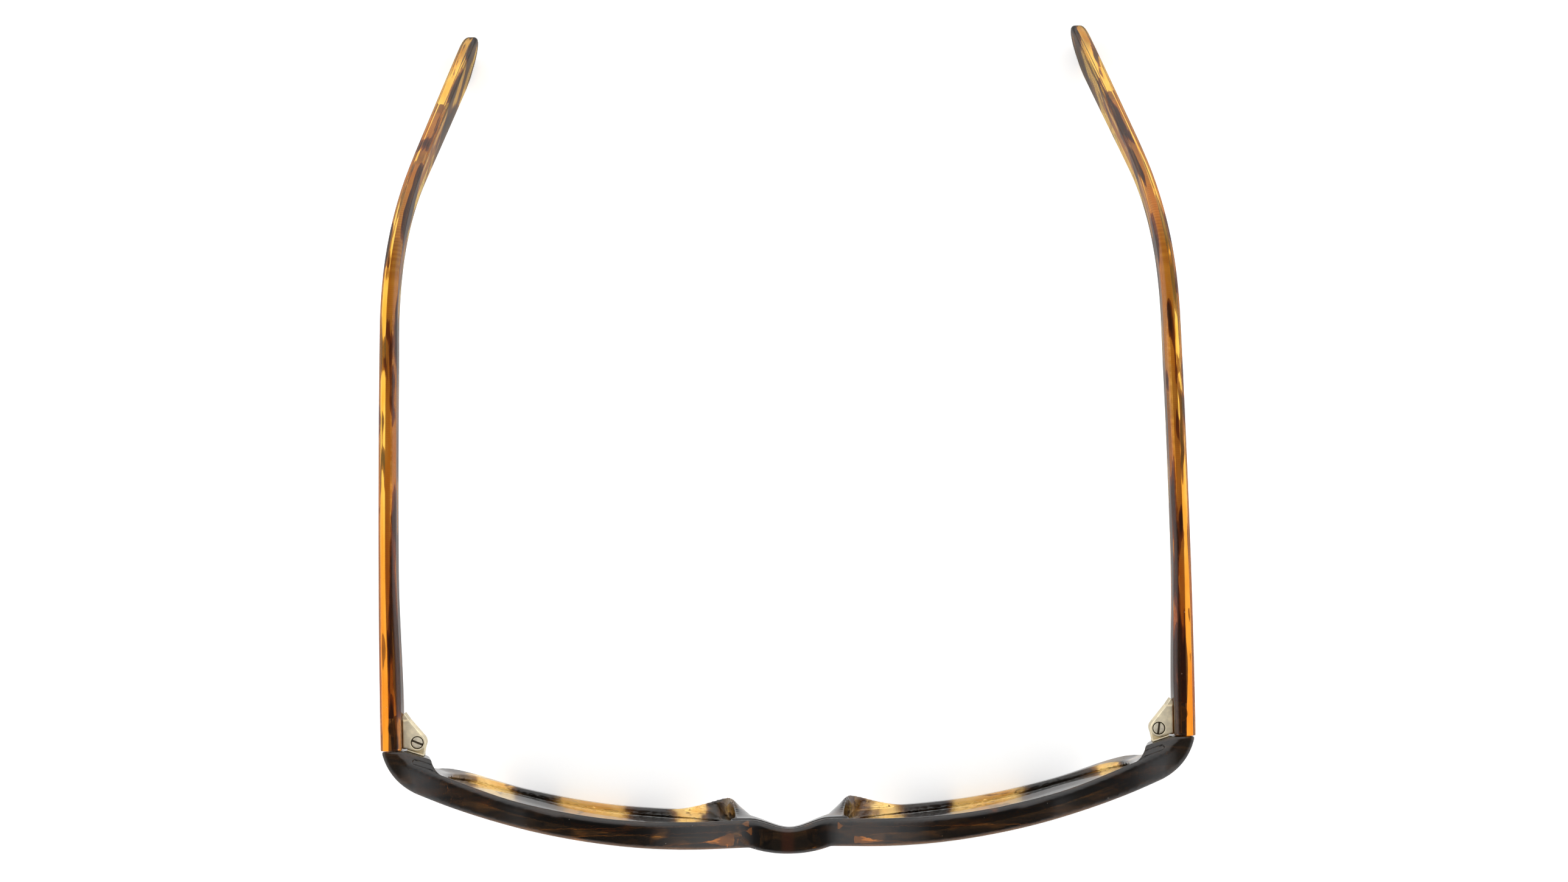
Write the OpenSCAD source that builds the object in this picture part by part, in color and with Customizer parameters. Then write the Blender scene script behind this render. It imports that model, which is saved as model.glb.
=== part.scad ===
// Acetate eyeglasses frame: full-rim front, two hinged temples, demonstration lenses.
// Frame of the part: +X to the wearer's left, +Y back along the temples, +Z up.
// Origin: on the table, in the middle of the frame's plan box. Units are millimetres.
// Name endings: _w width, _h height, _t thickness, _r radius, _a angle.
// Left-hand pieces are modelled; right-hand pieces are their mirror images.

/* [Front] */
// Width of the front across the end pieces
front_w = 140; // [136:1:144]
// Lens opening width (boxing system)
lens_w = 51; // [49:0.5:52]
// Distance between the lenses
lens_gap = 18; // [17:0.5:19]
// Lens opening height
lens_h = 34.4; // [32:0.2:36]
// Rim height above the lens opening
rim_top = 4.0; // [3.4:0.1:4.6]
// Rim height below the lens opening
rim_bottom = 3.8; // [3.2:0.1:4.2]
// Rim width beside the lens opening, temple side
rim_side = 3.8; // [3.2:0.1:4.2]
// Rim width beside the lens opening, nose side
rim_nose = 3.2; // [2.8:0.1:3.6]
// Squareness of the lens opening: 2 is an ellipse
eye_square = 2.75; // [2.4:0.05:3.1]
// How much wider the opening is at its top than at its middle
eye_taper = 0.05; // [0:0.01:0.08]
// Front to back thickness of the rims
rim_t = 4.45; // [4:0.05:4.7]
// Front to back thickness beside the bridge
nose_t = 4.75; // [4.6:0.05:5]
// Face-form radius of the front, in plan
face_r = 134; // [125:1:145]
// Radius of the front's outer corner, in plan
corner_r = 10; // [9:0.5:11]
// Forward tilt of the front's top edge
tilt = 0.5; // [0:0.5:2]

/* [Bridge] */
// Height of the bridge's top edge
bridge_top = 35.4; // [34:0.2:36.6]
// Height of the arch under the bridge
bridge_arch = 28.2; // [27:0.2:29.4]
// Half width of the raised bridge pad
bridge_half = 7; // [6:0.1:7.5]
// How far the bridge pad stands forward of the rims
bridge_fwd = 1.2; // [0.8:0.1:1.6]
// Depth of the saddle worn into the back of the bridge
bridge_dip = 1.6; // [1:0.1:1.8]

/* [Nose pads] */
// Distance of a pad's crest from the centre plane
pad_x = 9.6; // [9.2:0.1:10]
// How far the crest stands behind the rims
pad_proud = 3.0; // [2.4:0.1:3.4]
// Height of a pad's crest
pad_z = 14.8; // [14:0.2:15.6]

/* [Lenses] */
// Lens thickness
lens_t = 1.5; // [1.2:0.1:1.8]
// Depth of the lens groove in the rim
groove = 0.6; // [0.4:0.05:0.8]
// Radius of the lens's front surface
lens_r = 88; // [80:1:110]
// Distance from the rims' face curve to the lens, at the lens's middle
lens_in = 0.1; // [0:0.05:0.3]

/* [Temples] */
// Temple thickness at the hinge
temple_t = 3.6; // [3.4:0.1:3.8]
// Temple thickness along the shank
shank_t = 3.0; // [2.7:0.1:3.2]
// Temple thickness at the tip
tip_t = 2.4; // [2.2:0.1:2.6]
// Temple height at the hinge
temple_h = 11.4; // [10.8:0.1:11.6]
// Temple height along the shank
shank_h = 8.6; // [8:0.1:9.4]
// Temple height at the tip
tip_h = 11.2; // [10.4:0.1:11.6]
// Straight length from the hinge pin to the ear bend
bend_start = 78; // [74:0.5:80]
// Radius of the ear bend, seen from the side
bend_r = 32; // [28:1:36]
// Angle of the ear bend
bend_a = 44; // [40:1:46]
// Inward curve of the shank, per square of its length
bow = 0.00025; // [0.0002:0.00001:0.0004]
// Inward slope of the tip
tip_slope = 0.32; // [0.28:0.005:0.34]
// Lean of the tip's inward bend
tip_lean = 14; // [10:1:20]

/* [Wire core] */
// Core thickness
core_t = 0.8; // [0.7:0.05:0.9]
// Core height
core_h = 2.4; // [2:0.1:2.8]
// Core end, short of the temple's end
core_short = 12; // [10:1:16]

/* [Hinges] */
// Height of the hinge's middle above the table
hinge_z = 31; // [30.5:0.1:31.5]
// Distance from the temple's outer face to the hinge pin
pin_in = 6.2; // [6.1:0.05:6.3]
// Knuckle radius
knuckle_r = 1.5; // [1.45:0.05:1.55]
// Thickness of one knuckle plate
knuckle_t = 1.3; // [1.2:0.05:1.4]
// Gap between knuckle plates
knuckle_gap = 0.04; // [0.03:0.01:0.06]
// Screw shank radius
screw_r = 0.7; // [0.65:0.01:0.72]
// Screw head radius
head_r = 1.0; // [0.95:0.01:1.02]
// Direction of the slot in the wearer's left screw
slot_left = 82; // [0:1:180]
// Direction of the slot in the wearer's right screw
slot_right = 160; // [0:1:180]

/* [Hidden] */

hinge_color = [0.80, 0.74, 0.63];
fit = 0.03;                     // clearance of a seated part
end_x = front_w / 2;            // outer face of the end piece
eye_x = lens_gap / 2 + lens_w / 2;
eye_z = rim_bottom + lens_h / 2;
// A depth is a distance behind the bridge's face, before the front is tilted.
butt_depth = 18.9;              // end piece's rear face
pin_depth = 20.3;               // hinge pin

// Lengths along the temple are measured from the pin.
tip_sink = 0.05;                // extra drop of the tip, whose facets miss the full circle
bend_end = bend_start + bend_r * sin(bend_a);
bend_drop = bend_r * (1 - cos(bend_a));
tip_run = (hinge_z - tip_h / 2 + tip_sink - bend_drop) / sin(bend_a);
tip_reach = bend_end + tip_run * cos(bend_a) + tip_h / 2;
front_reach = pin_depth * cos(tilt) + (bridge_top - hinge_z) * sin(tilt);
pin_x = end_x - pin_in;
pin_y = (front_reach - tip_reach) / 2;  // centres the plan box

// ---------- curves ----------
function ease(part) = let (c = min(max(part, 0), 1)) c * c * (3 - 2 * c);
function blend(from, to, part) = from + (to - from) * ease(part);
function reversed(points, first = 0) = [for (i = [len(points) - 1:-1:first]) points[i]];
// the same line on the other side of the centre plane, run backwards
function flip_x(points, first = 0) = [for (p = reversed(points, first)) [-p[0], p[1]]];
// unit normal of a direction, to its right: outward on a counter-clockwise loop
function right_normal(d) = [d[1], -d[0]] / norm(d);

// Catmull-Rom curve through all but the first and last points
function spline_pt(a, b, c, d, t) = 0.5 * (2 * b + (c - a) * t
    + (2 * a - 5 * b + 4 * c - d) * t * t + (3 * b - a - 3 * c + d) * t * t * t);
function spline(points, steps) = [for (i = [1:len(points) - 3]) for (j = [0:steps - 1])
    spline_pt(points[i - 1], points[i], points[i + 1], points[i + 2], j / steps)];

// ---------- front view (x, z) ----------
// lens opening: polar superellipse, wider at the top
function eye_radius(angle) = pow(pow(abs(cos(angle)) / (lens_w / 2), eye_square)
    + pow(abs(sin(angle)) / (lens_h / 2), eye_square), -1 / eye_square);
function eye_pt(angle) = let (r = eye_radius(angle), z = r * sin(angle))
    [r * cos(angle) * (1 - eye_taper / 2 + eye_taper * z / (lens_h / 2)) + eye_x, z + eye_z];
eye_n = 80;
eye = [for (i = [0:eye_n - 1]) eye_pt(360 * i / eye_n)];
function eye_offset(out) = [for (i = [0:eye_n - 1])
    eye[i] + out * right_normal(eye[(i + 1) % eye_n] - eye[(i + eye_n - 1) % eye_n])];

// point on the rim's outer edge
function rim_width(angle) = let (c = cos(angle), s = sin(angle))
    (c > 0 ? rim_side : rim_nose) * c * c + (s > 0 ? rim_top : rim_bottom) * s * s;
function rim_pt(angle) = eye_pt(angle)
    + rim_width(angle) * right_normal(eye_pt(angle + 0.5) - eye_pt(angle - 0.5));

// end piece's edge, top to bottom: [x, z] from the middle of its outer face
end_edge = [[-10.5, 8.3], [-4.5, 6.7], [-0.9, 6], [0, 5.1], [0, 0], [0, -5.0],
            [-0.9, -5.9], [-3.2, -6.9], [-5.3, -9]];
// control points of the left half, clockwise from the bridge's top edge
half_controls = concat(
    [[-7, bridge_top + 0.3], [0, bridge_top], [7, bridge_top + 0.3]],
    [for (angle = [138, 122, 106, 90, 76, 62, 50]) rim_pt(angle)],
    [for (p = end_edge) [end_x, hinge_z] + p],
    [for (angle = [-8, -24, -38, -52, -66, -80, -94, -108, -122, -136, -150, -165, -178])
        rim_pt(angle)],
    [[rim_pt(180)[0] - 0.7, bridge_arch - 4], [3.2, bridge_arch - 1.1],
     [0, bridge_arch], [-3.2, bridge_arch - 1.1]]);
half_line = spline(half_controls, 4);
outline = concat(half_line, [[0, bridge_arch]], flip_x(half_line, 1));

// ---------- plan of the front: depths at distance x from the centre plane ----------
face_flat = 12;                 // the face curve starts here
corner_x = end_x - corner_r;    // centre of the corner arc
corner_depth = bridge_fwd + face_r
    - sqrt(pow(face_r - corner_r, 2) - pow(corner_x - face_flat, 2));
// where the face curve meets the corner arc
corner_from = face_flat + face_r * (corner_x - face_flat) / (face_r - corner_r);

function face_depth(x) =
    x < face_flat ? bridge_fwd
    : x < corner_from ? bridge_fwd + face_r - sqrt(face_r * face_r - pow(x - face_flat, 2))
    : corner_depth - sqrt(max(corner_r * corner_r - pow(min(x, end_x) - corner_x, 2), 0));
function front_depth(x) =
    x < bridge_half ? bridge_fwd * pow(x / bridge_half, 2.2) : face_depth(x);
function rear_depth(x) = face_depth(x) + (
    x < bridge_half ? nose_t - bridge_dip * (1 - ease(x / bridge_half))
    : x < 34 ? blend(nose_t, rim_t, (x - 16) / 18)
    : blend(rim_t, rim_t + 0.5, (x - 46) / 14));

rim_stations = concat([for (k = [0:8]) bridge_half * k / 8],
    [for (x = [8.5:2.15:60]) x], [for (x = [61:0.75:64.5]) x]);
corner_a0 = 24;                 // the end block follows the corner arc between these angles
corner_a1 = acos((corner_depth - butt_depth + 0.3) / corner_r);
end_stations = concat([for (x = [57:1.6:64]) x],
    [for (k = [0:8]) corner_x + corner_r * sin(corner_a0 + k * (corner_a1 - corner_a0) / 8)]);
// rear of the end block, inward: [x, depth] from the outer end of the rear face
end_rear = [[0, 1], [-4.2, 1], [-7, 0.1], [-8.8, -0.6], [-9.1, -1.75], [-9.8, -2.9],
            [-10.5, -4.3], [-13, -5.9]];

// ---------- front ----------
module mirrored() mirror([1, 0, 0]) children();
// puts front geometry (y is depth) in the part's frame, tilted about the pin line
module tilted() translate([0, pin_y, hinge_z]) rotate([tilt, 0, 0])
    translate([0, -pin_depth, -hinge_z]) children();
// extrude a plan (x, y) or a front view (x, z) right through the front
module plan(points) translate([0, 0, -5]) linear_extrude(55) polygon(points);
module view(points) translate([0, 30, 0]) rotate([90, 0, 0]) linear_extrude(35) polygon(points);

module rim_slab() {
    front = [for (x = rim_stations) [x, front_depth(x)]];
    rear = [for (x = rim_stations) [x, rear_depth(x)]];
    plan(concat(flip_x(front), [for (i = [1:len(front) - 1]) front[i]],
        reversed(rear, 1), [for (p = rear) [-p[0], p[1]]]));
}

module end_block() intersection() {
    plan(concat([for (x = end_stations) [x, face_depth(x)]],
        [for (p = end_rear) [end_x, butt_depth] + p]));
    // rounded rectangle round the hinge
    view([for (a = [0:12:359]) [end_x - 6 + 7.5 * sign(cos(a)) * pow(abs(cos(a)), 0.5),
        hinge_z + 7.2 * sign(sin(a)) * pow(abs(sin(a)), 0.55)]]);
}

// hinge seat on the end piece, [x, y] from the pin
seat_outer = [2, butt_depth - pin_depth];
seat_inner = [-2.8, -3];
seat_a = atan2(seat_outer[1] - seat_inner[1], seat_outer[0] - seat_inner[0]);
seat_y = -2.067;                // seat's surface straight in front of the pin

// cuts the end piece's rear face to the hinge seat: upright faces, square to the table
module hinge_seat() translate([pin_x, pin_y, hinge_z - 15]) linear_extrude(30)
    polygon([[8, seat_outer[1]], seat_outer, seat_inner, [-2.95, -3.2], [-2.95, 3], [8, 3]]);

// inward normal of the face curve at the lens's middle
lens_normal = [face_flat - eye_x, sqrt(face_r * face_r - pow(eye_x - face_flat, 2))] / face_r;
module lens_ball(behind) translate([eye_x + lens_normal[0] * (lens_r + lens_in),
        bridge_fwd + face_r - lens_normal[1] * (face_r - lens_r - lens_in), eye_z])
    sphere(lens_r - behind, $fn = 180);
// space between two spheres, near and far behind the lens's front surface
module lens_shell(points, near, far) difference() {
    intersection() {
        view(points);
        lens_ball(near);
    }
    lens_ball(far);
}

module front_frame() color([0.24, 0.12, 0.05]) difference() {
    tilted() difference() {
        intersection() {
            union() {
                rim_slab();
                end_block();
                mirrored() end_block();
            }
            view(outline);
        }
        for (m = [0, 1]) mirror([m, 0, 0]) {
            view(eye);
            lens_shell(eye_offset(groove), 0, lens_t + 2 * fit);
        }
    }
    for (m = [0, 1]) mirror([m, 0, 0]) {
        hinge_seat();
        front_root(fit);
    }
    // nothing below the table
    translate([-100, -100, -20]) cube([200, 200, 20]);
}

module lens() color([0.86, 0.93, 0.95, 0.35]) tilted()
    lens_shell(eye_offset(groove - fit), fit, lens_t + fit);
module lens_left() lens();
module lens_right() mirrored() lens();

pad_depth = bridge_fwd + nose_t;    // rim's rear face at the pads
pad_base = [pad_x, pad_depth, pad_z];
module nose_pad() color([0.85, 0.48, 0.12]) tilted() difference() {
    hull() {
        // ridge, top to bottom
        translate(pad_base + [-2.3, -0.2, 11.6]) sphere(0.9, $fn = 24);
        translate(pad_base + [-1, pad_proud - 1.5, 6]) sphere(1, $fn = 28);
        translate(pad_base + [0, pad_proud - 1.1, 0]) sphere(1.1, $fn = 32);
        translate(pad_base + [2.8, 0.3, -5.3]) sphere(1.1, $fn = 28);
        translate(pad_base + [5.2, -0.5, -8.3]) sphere(1, $fn = 24);
        // foot, on the nose side
        translate(pad_base + [-2.2, -0.6, 3.4]) sphere(0.9, $fn = 24);
        translate(pad_base + [-0.8, -0.6, -2.8]) sphere(0.9, $fn = 24);
    }
    // everything forward of the rim's rear face
    plan(concat([[30, -5], [-5, -5]], [for (x = [-5, 0, 4, 8, 12, 16, 20, 25, 30])
        [x, max(rear_depth(x), pad_depth) + fit]]));
}
module nose_pad_left() nose_pad();
module nose_pad_right() mirrored() nose_pad();

// ---------- hinges: x and y from the pin ----------
hinge_h = 5 * knuckle_t + 4 * knuckle_gap;
hinge_top = hinge_z + hinge_h / 2;
hinge_bottom = hinge_z - hinge_h / 2;
inner_x = pin_in - temple_t;    // temple's inner face
neck_half = 1.6;                // half heights of a root's neck, cross bar and key
cross_half = 2.4;
key_half = 0.9;
key_r = 1.9;
hole_gap = 0.04;                // clearance of the screw in the upper plates
head_depth = 0.5;               // depth of the recess for the screw's head

// underside of plate i, counted from the top
function plate_z(i) = hinge_top - (i + 1) * knuckle_t - i * knuckle_gap;
// where a line from a point touches the knuckle; side, 1 or -1, picks the tangent
function tangent_pt(point, side) =
    let (a = atan2(point[1], point[0]) + side * acos(knuckle_r / norm(point)))
    knuckle_r * [cos(a), sin(a)];

module at_pin() translate([pin_x, pin_y, 0]) children();
module at_seat() translate([0, seat_y, 0]) rotate([0, 0, seat_a]) children();
// block between two x and two y values, centred on the hinge's height
module bar(x, y, half_h) translate([x[0], y[0], hinge_z - half_h])
    cube([x[1] - x[0], y[1] - y[0], 2 * half_h]);
module key_disc(x, y, gap) translate([x, y, hinge_z - key_half - gap])
    cylinder(r = key_r + gap, h = 2 * (key_half + gap), $fn = 48);

// Roots: neck, cross bar and half-round key. With a gap they cut their own sockets.
// root embedded in the temple
module temple_root(gap) at_pin() {
    bar([inner_x - (gap > 0 ? 0.5 : 0.1), inner_x + 0.6], [0.7 - gap, 4.1 + gap],
        neck_half + gap);
    bar([inner_x + 0.5 - gap, inner_x + 1.4 + gap], [-0.9 - gap, 4.6 + gap], cross_half + gap);
    intersection() {
        key_disc(inner_x + 0.5, 2.4, gap);
        bar([inner_x + 0.6, inner_x + 3], [-2, 6], 2);
    }
}
// root embedded in the end piece, square to the hinge seat
module front_root(gap) at_pin() at_seat() {
    bar([-0.9 - gap, 0.9 + gap], [-0.9, gap > 0 ? 0.5 : 0.1], neck_half + gap);
    bar([-2.3 - gap, 1.9 + gap], [-1.7 - gap, -0.8 + gap], cross_half + gap);
    intersection() {
        key_disc(-0.2, -0.9, gap);
        bar([-4, 4], [-4, -1], 2);
    }
}

// knuckle plate: a disc round the pin, joined to three base points
module plate(i, base) translate([0, 0, plate_z(i)]) linear_extrude(knuckle_t) union() {
    circle(knuckle_r, $fn = 64);
    polygon(concat(base, [tangent_pt(base[2], 1), [0, 0], tangent_pt(base[0], -1)]));
}

module temple_hinge() color(hinge_color) union() {
    difference() {
        union() {
            at_pin() {
                // leaf on the temple's inner face
                translate([0, 0, hinge_bottom - 0.5]) linear_extrude(hinge_h)
                    polygon([[inner_x - fit, -1.1], [inner_x - fit, 4.6],
                        [inner_x - 0.42, 5.1], [inner_x - 1.3, 3.95],
                        [inner_x - 0.75, 3.2], [inner_x - 0.6, -1.1]]);
                for (i = [0, 2, 4])
                    plate(i, [[inner_x - 0.1, -0.9], [inner_x - 0.1, 3.9], [inner_x - 1.3, 3.9]]);
            }
            temple_root(0);
        }
        // screw hole, closer in the bottom plate, and head recess
        at_pin() {
            translate([0, 0, hinge_bottom - 1])
                cylinder(r = screw_r + 0.02, h = knuckle_t + 1, $fn = 48);
            translate([0, 0, hinge_bottom + knuckle_t / 2])
                cylinder(r = screw_r + hole_gap, h = hinge_h, $fn = 48);
            translate([0, 0, hinge_top - head_depth])
                cylinder(r = head_r + 0.07, h = 2, $fn = 64);
        }
    }
}
module temple_hinge_left() temple_hinge();
module temple_hinge_right() mirrored() temple_hinge();

module front_hinge() color(hinge_color) difference() {
    union() {
        at_pin() {
            at_seat() bar([-1.1, 1.6], [fit, 0.3], hinge_h / 2);
            for (i = [1, 3]) plate(i, [[-1.05, -2.3], [1.3, -1.5], [1.45, -1.36]]);
        }
        front_root(0);
    }
    at_pin() translate([0, 0, hinge_bottom])
        cylinder(r = screw_r + hole_gap, h = hinge_h + 2, $fn = 48);
}
module front_hinge_left() front_hinge();
module front_hinge_right() mirrored() front_hinge();

module hinge_screw(slot) color([0.74, 0.70, 0.62]) difference() {
    at_pin() {
        translate([0, 0, hinge_bottom + 0.05])
            cylinder(r = screw_r, h = hinge_h - 0.35, $fn = 48);
        translate([0, 0, hinge_top - head_depth + 0.02]) cylinder(r = head_r, h = 0.45, $fn = 64);
    }
    at_pin() translate([0, 0, hinge_top]) rotate([0, 0, slot])
        cube([3, 0.34, 0.62], center = true);
}
module hinge_screw_left() hinge_screw(slot_left);
module hinge_screw_right() mirrored() hinge_screw(180 - slot_right);

// ---------- temple seen from the side (y from the pin, z) ----------
// "along" is the length from the pin along the temple's middle line
bend_len = bend_r * bend_a * PI / 180;
path_end = bend_start + bend_len + tip_run;
function path_angle(along) = along < bend_start ? 0
    : min((along - bend_start) / bend_r * 180 / PI, bend_a);
function path_pt(along) = along < bend_start ? [along, hinge_z]
    : let (a = path_angle(along))
        [bend_start + bend_r * sin(a), hinge_z - bend_r * (1 - cos(a))]
        + max(along - bend_start - bend_len, 0) * [cos(a), -sin(a)];
function half_height(along) = (along < 60 ? blend(temple_h, shank_h, along / 60)
    : blend(shank_h, tip_h, (along - 84) / (path_end - 84))) / 2;
// point at a distance above the middle line, square to it; turn swings it round towards the tip
function edge_pt(along, up, turn = 0) = let (a = path_angle(along) + turn)
    path_pt(along) + up * [sin(a), cos(a)];

path_stations = concat([for (s = [-1.3:6.1:bend_start - 4]) s],
    [for (s = [bend_start - 2:2.4:path_end - 1]) s], [path_end]);
temple_side = concat(
    [for (s = path_stations) edge_pt(s, half_height(s))],
    [for (k = [1:9]) edge_pt(path_end, tip_h / 2, 18 * k)],
    [for (s = reversed(path_stations)) edge_pt(s, -half_height(s))]);

core_start = 4.2;
core_end = path_end - core_short;
core_stations = [for (s = path_stations) if (s > 5 && s < core_end) s];
function core_side(gap) = let (half = core_h / 2 + gap, end_half = core_h / 2 - 0.3) concat(
    [edge_pt(core_start - gap, half)],
    [for (s = core_stations) edge_pt(s, half)],
    [edge_pt(core_end + gap, end_half), edge_pt(core_end + gap, -end_half)],
    [for (s = reversed(core_stations)) edge_pt(s, -half)],
    [edge_pt(core_start - gap, -half)]);

// ---------- temple in its leaning plan (y from the pin) ----------
tip_bend_y = 68;                // start and length of the tip's inward bend
tip_bend_len = 28;
// inward offset of the outer face
function inset(y) = y < 0 ? 0 : y < tip_bend_y ? bow * y * y
    : let (slope = 2 * bow * tip_bend_y, d = y - tip_bend_y,
           k = (tip_slope - slope) / tip_bend_len)
        bow * tip_bend_y * tip_bend_y + (d < tip_bend_len ? slope * d + k * d * d / 2
        : slope * tip_bend_len + k * tip_bend_len * tip_bend_len / 2
            + tip_slope * (d - tip_bend_len));
function thickness(y) = y < 30 ? blend(temple_t, shank_t, (y - 6) / 24)
    : blend(shank_t, tip_t, (y - 60) / 40);
plan_stations = concat([for (y = [-8:4:60]) y], [for (y = [62:2:90]) y], [for (y = [94:5:136]) y]);
core_place = 0.47;              // core's middle, as a part of the thickness from outside

// slab between two lists of distances inward of the outer face, one for each station
module lean(outer, inner) {
    last = len(plan_stations) - 1;
    function pt(i, depth) = [-inset(plan_stations[i]) - depth, plan_stations[i]];
    translate([pin_x, pin_y, hinge_z]) rotate([-tip_lean, 0, 0])
        translate([pin_in, 0, -70]) linear_extrude(160) polygon(concat(
            [for (i = [0:last]) pt(i, outer[i])], [for (i = [last:-1:0]) pt(i, inner[i])]));
}
module side(points) translate([0, pin_y, 0]) rotate([90, 0, 90]) linear_extrude(100)
    polygon(points);

module core(gap) intersection() {
    lean([for (y = plan_stations) core_place * thickness(y) - core_t / 2 - gap],
        [for (y = plan_stations) core_place * thickness(y) + core_t / 2 + gap]);
    side(core_side(gap));
}

module temple() color([0.93, 0.58, 0.12]) difference() {
    intersection() {
        lean([for (y = plan_stations) 0], [for (y = plan_stations) thickness(y)]);
        side(temple_side);
    }
    core(fit);
    temple_root(fit);
}
module temple_left() temple();
module temple_right() mirrored() temple();

module wire_core() color([0.42, 0.30, 0.20]) core(0);
module wire_core_left() wire_core();
module wire_core_right() mirrored() wire_core();

front_frame();
nose_pad_right();
nose_pad_left();
lens_right();
lens_left();
front_hinge_right();
front_hinge_left();
temple_right();
temple_left();
wire_core_right();
wire_core_left();
temple_hinge_right();
temple_hinge_left();
hinge_screw_right();
hinge_screw_left();
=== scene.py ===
"""Spectacles in tortoiseshell acetate: a front, two clear lenses, two temples and their hinges.

They stand on a table at z = 0, seen from above. The front faces -y, the temples run back
along +y, and the wearer's right is -x. Sizes are in mm and become metres in make().
"""
import math
import bpy
import bmesh
import numpy as np
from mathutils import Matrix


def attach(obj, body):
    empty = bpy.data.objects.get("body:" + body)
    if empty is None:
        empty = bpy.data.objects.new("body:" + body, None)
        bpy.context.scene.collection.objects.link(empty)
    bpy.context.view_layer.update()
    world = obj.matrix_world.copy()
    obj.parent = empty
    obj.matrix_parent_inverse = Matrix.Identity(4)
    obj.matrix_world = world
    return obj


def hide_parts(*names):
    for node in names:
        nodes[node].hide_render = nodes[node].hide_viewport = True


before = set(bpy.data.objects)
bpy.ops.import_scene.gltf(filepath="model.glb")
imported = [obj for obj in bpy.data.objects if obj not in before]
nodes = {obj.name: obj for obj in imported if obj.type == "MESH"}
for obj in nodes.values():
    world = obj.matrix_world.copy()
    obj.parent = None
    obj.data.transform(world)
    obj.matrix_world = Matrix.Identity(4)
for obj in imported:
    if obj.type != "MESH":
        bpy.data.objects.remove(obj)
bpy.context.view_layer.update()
MM = 0.001

# ------------------------------------------------------------------ driving sizes
# the front; its depths run back from the middle of the bridge's face
FRONT_WIDTH, LENS_WIDTH, LENS_GAP, LENS_HEIGHT = 140.0, 51.0, 18.0, 34.4
RIM_TOP, RIM_BOTTOM, RIM_SIDE, RIM_NOSE = 4.0, 3.8, 3.8, 3.2
EYE_POWER, EYE_TAPER = 2.75, 0.05           # superellipse power, widening towards the top
RIM_DEPTH, NOSE_DEPTH = 4.45, 4.75
FACE_RADIUS, CORNER_RADIUS = 134.0, 10.0    # plan arcs of the face and of its outer corners
FACE_FLAT = 12                              # half width of the flat middle of the face
TILT = math.radians(0.5)
BRIDGE_TOP, BRIDGE_ARCH, BRIDGE_HALF = 35.4, 28.2, 7.0
BRIDGE_SWELL, BRIDGE_DIP = 1.2, 1.6         # bridge forward of the face, hollow at its rear

# lenses
LENS_DEPTH, GROOVE, LENS_RADIUS, LENS_INSET, FIT = 1.5, 0.6, 88.0, 0.1, 0.03

# hinge pin, and the depth at which the temples butt against the front
HINGE_Z, PIN_INSET, BUTT_DEPTH, PIN_DEPTH = 31.0, 6.2, 18.9, 20.3

# temples: thickness and height at hinge, shank and tip
TEMPLE_THICK, SHANK_THICK, TIP_THICK = 3.6, 3.0, 2.4
TEMPLE_HEIGHT, SHANK_HEIGHT, TIP_HEIGHT = 11.4, 8.6, 11.2
BEND_START, BEND_RADIUS, BEND_ANGLE = 78.0, 32.0, math.radians(44)
# inward curve: gentle bow, then a turn to the tip's slope, measured along a leaning axis
BOW, TIP_SLOPE, LEAN = 0.00025, 0.32, math.radians(14)
TURN_START, TURN_LENGTH = 68.0, 28.0

# ------------------------------------------------------------------ places worked out
HALF_WIDTH = FRONT_WIDTH / 2
EYE_X = LENS_GAP / 2 + LENS_WIDTH / 2
EYE_Z = RIM_BOTTOM + LENS_HEIGHT / 2
PIN_X = HALF_WIDTH - PIN_INSET
NORMAL_X = (FACE_FLAT - EYE_X) / FACE_RADIUS
NORMAL_Y = math.sqrt(FACE_RADIUS ** 2 - (EYE_X - FACE_FLAT) ** 2) / FACE_RADIUS
LENS_CX = EYE_X + NORMAL_X * (LENS_RADIUS + LENS_INSET)
LENS_CY = BRIDGE_SWELL + FACE_RADIUS - NORMAL_Y * (FACE_RADIUS - LENS_RADIUS - LENS_INSET)
CORNER_X = HALF_WIDTH - CORNER_RADIUS
CORNER_Y = BRIDGE_SWELL + FACE_RADIUS - math.sqrt(
    (FACE_RADIUS - CORNER_RADIUS) ** 2 - (CORNER_X - FACE_FLAT) ** 2)
CORNER_START = FACE_FLAT + FACE_RADIUS * (CORNER_X - FACE_FLAT) / (FACE_RADIUS - CORNER_RADIUS)

BEND_END = BEND_START + BEND_RADIUS * math.sin(BEND_ANGLE)
BEND_DROP = BEND_RADIUS * (1 - math.cos(BEND_ANGLE))
TIP_RUN = (HINGE_Z - TIP_HEIGHT / 2 + 0.05 - BEND_DROP) / math.sin(BEND_ANGLE)
TIP_Y = BEND_END + TIP_RUN * math.cos(BEND_ANGLE) + TIP_HEIGHT / 2
# the frame is centred on y = 0
PIN_Y = (PIN_DEPTH * math.cos(TILT) + (BRIDGE_TOP - HINGE_Z) * math.sin(TILT) - TIP_Y) / 2
BEND_LENGTH = BEND_RADIUS * BEND_ANGLE
PATH_LENGTH = BEND_START + BEND_LENGTH + TIP_RUN
TURN_SLOPE = 2 * BOW * TURN_START
TURN_RATE = (TIP_SLOPE - TURN_SLOPE) / TURN_LENGTH


# ------------------------------------------------------------------ curves
def ease(t):
    t = np.clip(t, 0.0, 1.0)
    return t * t * (3 - 2 * t)


def eased(start, end, t):
    return start + (end - start) * ease(t)


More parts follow.
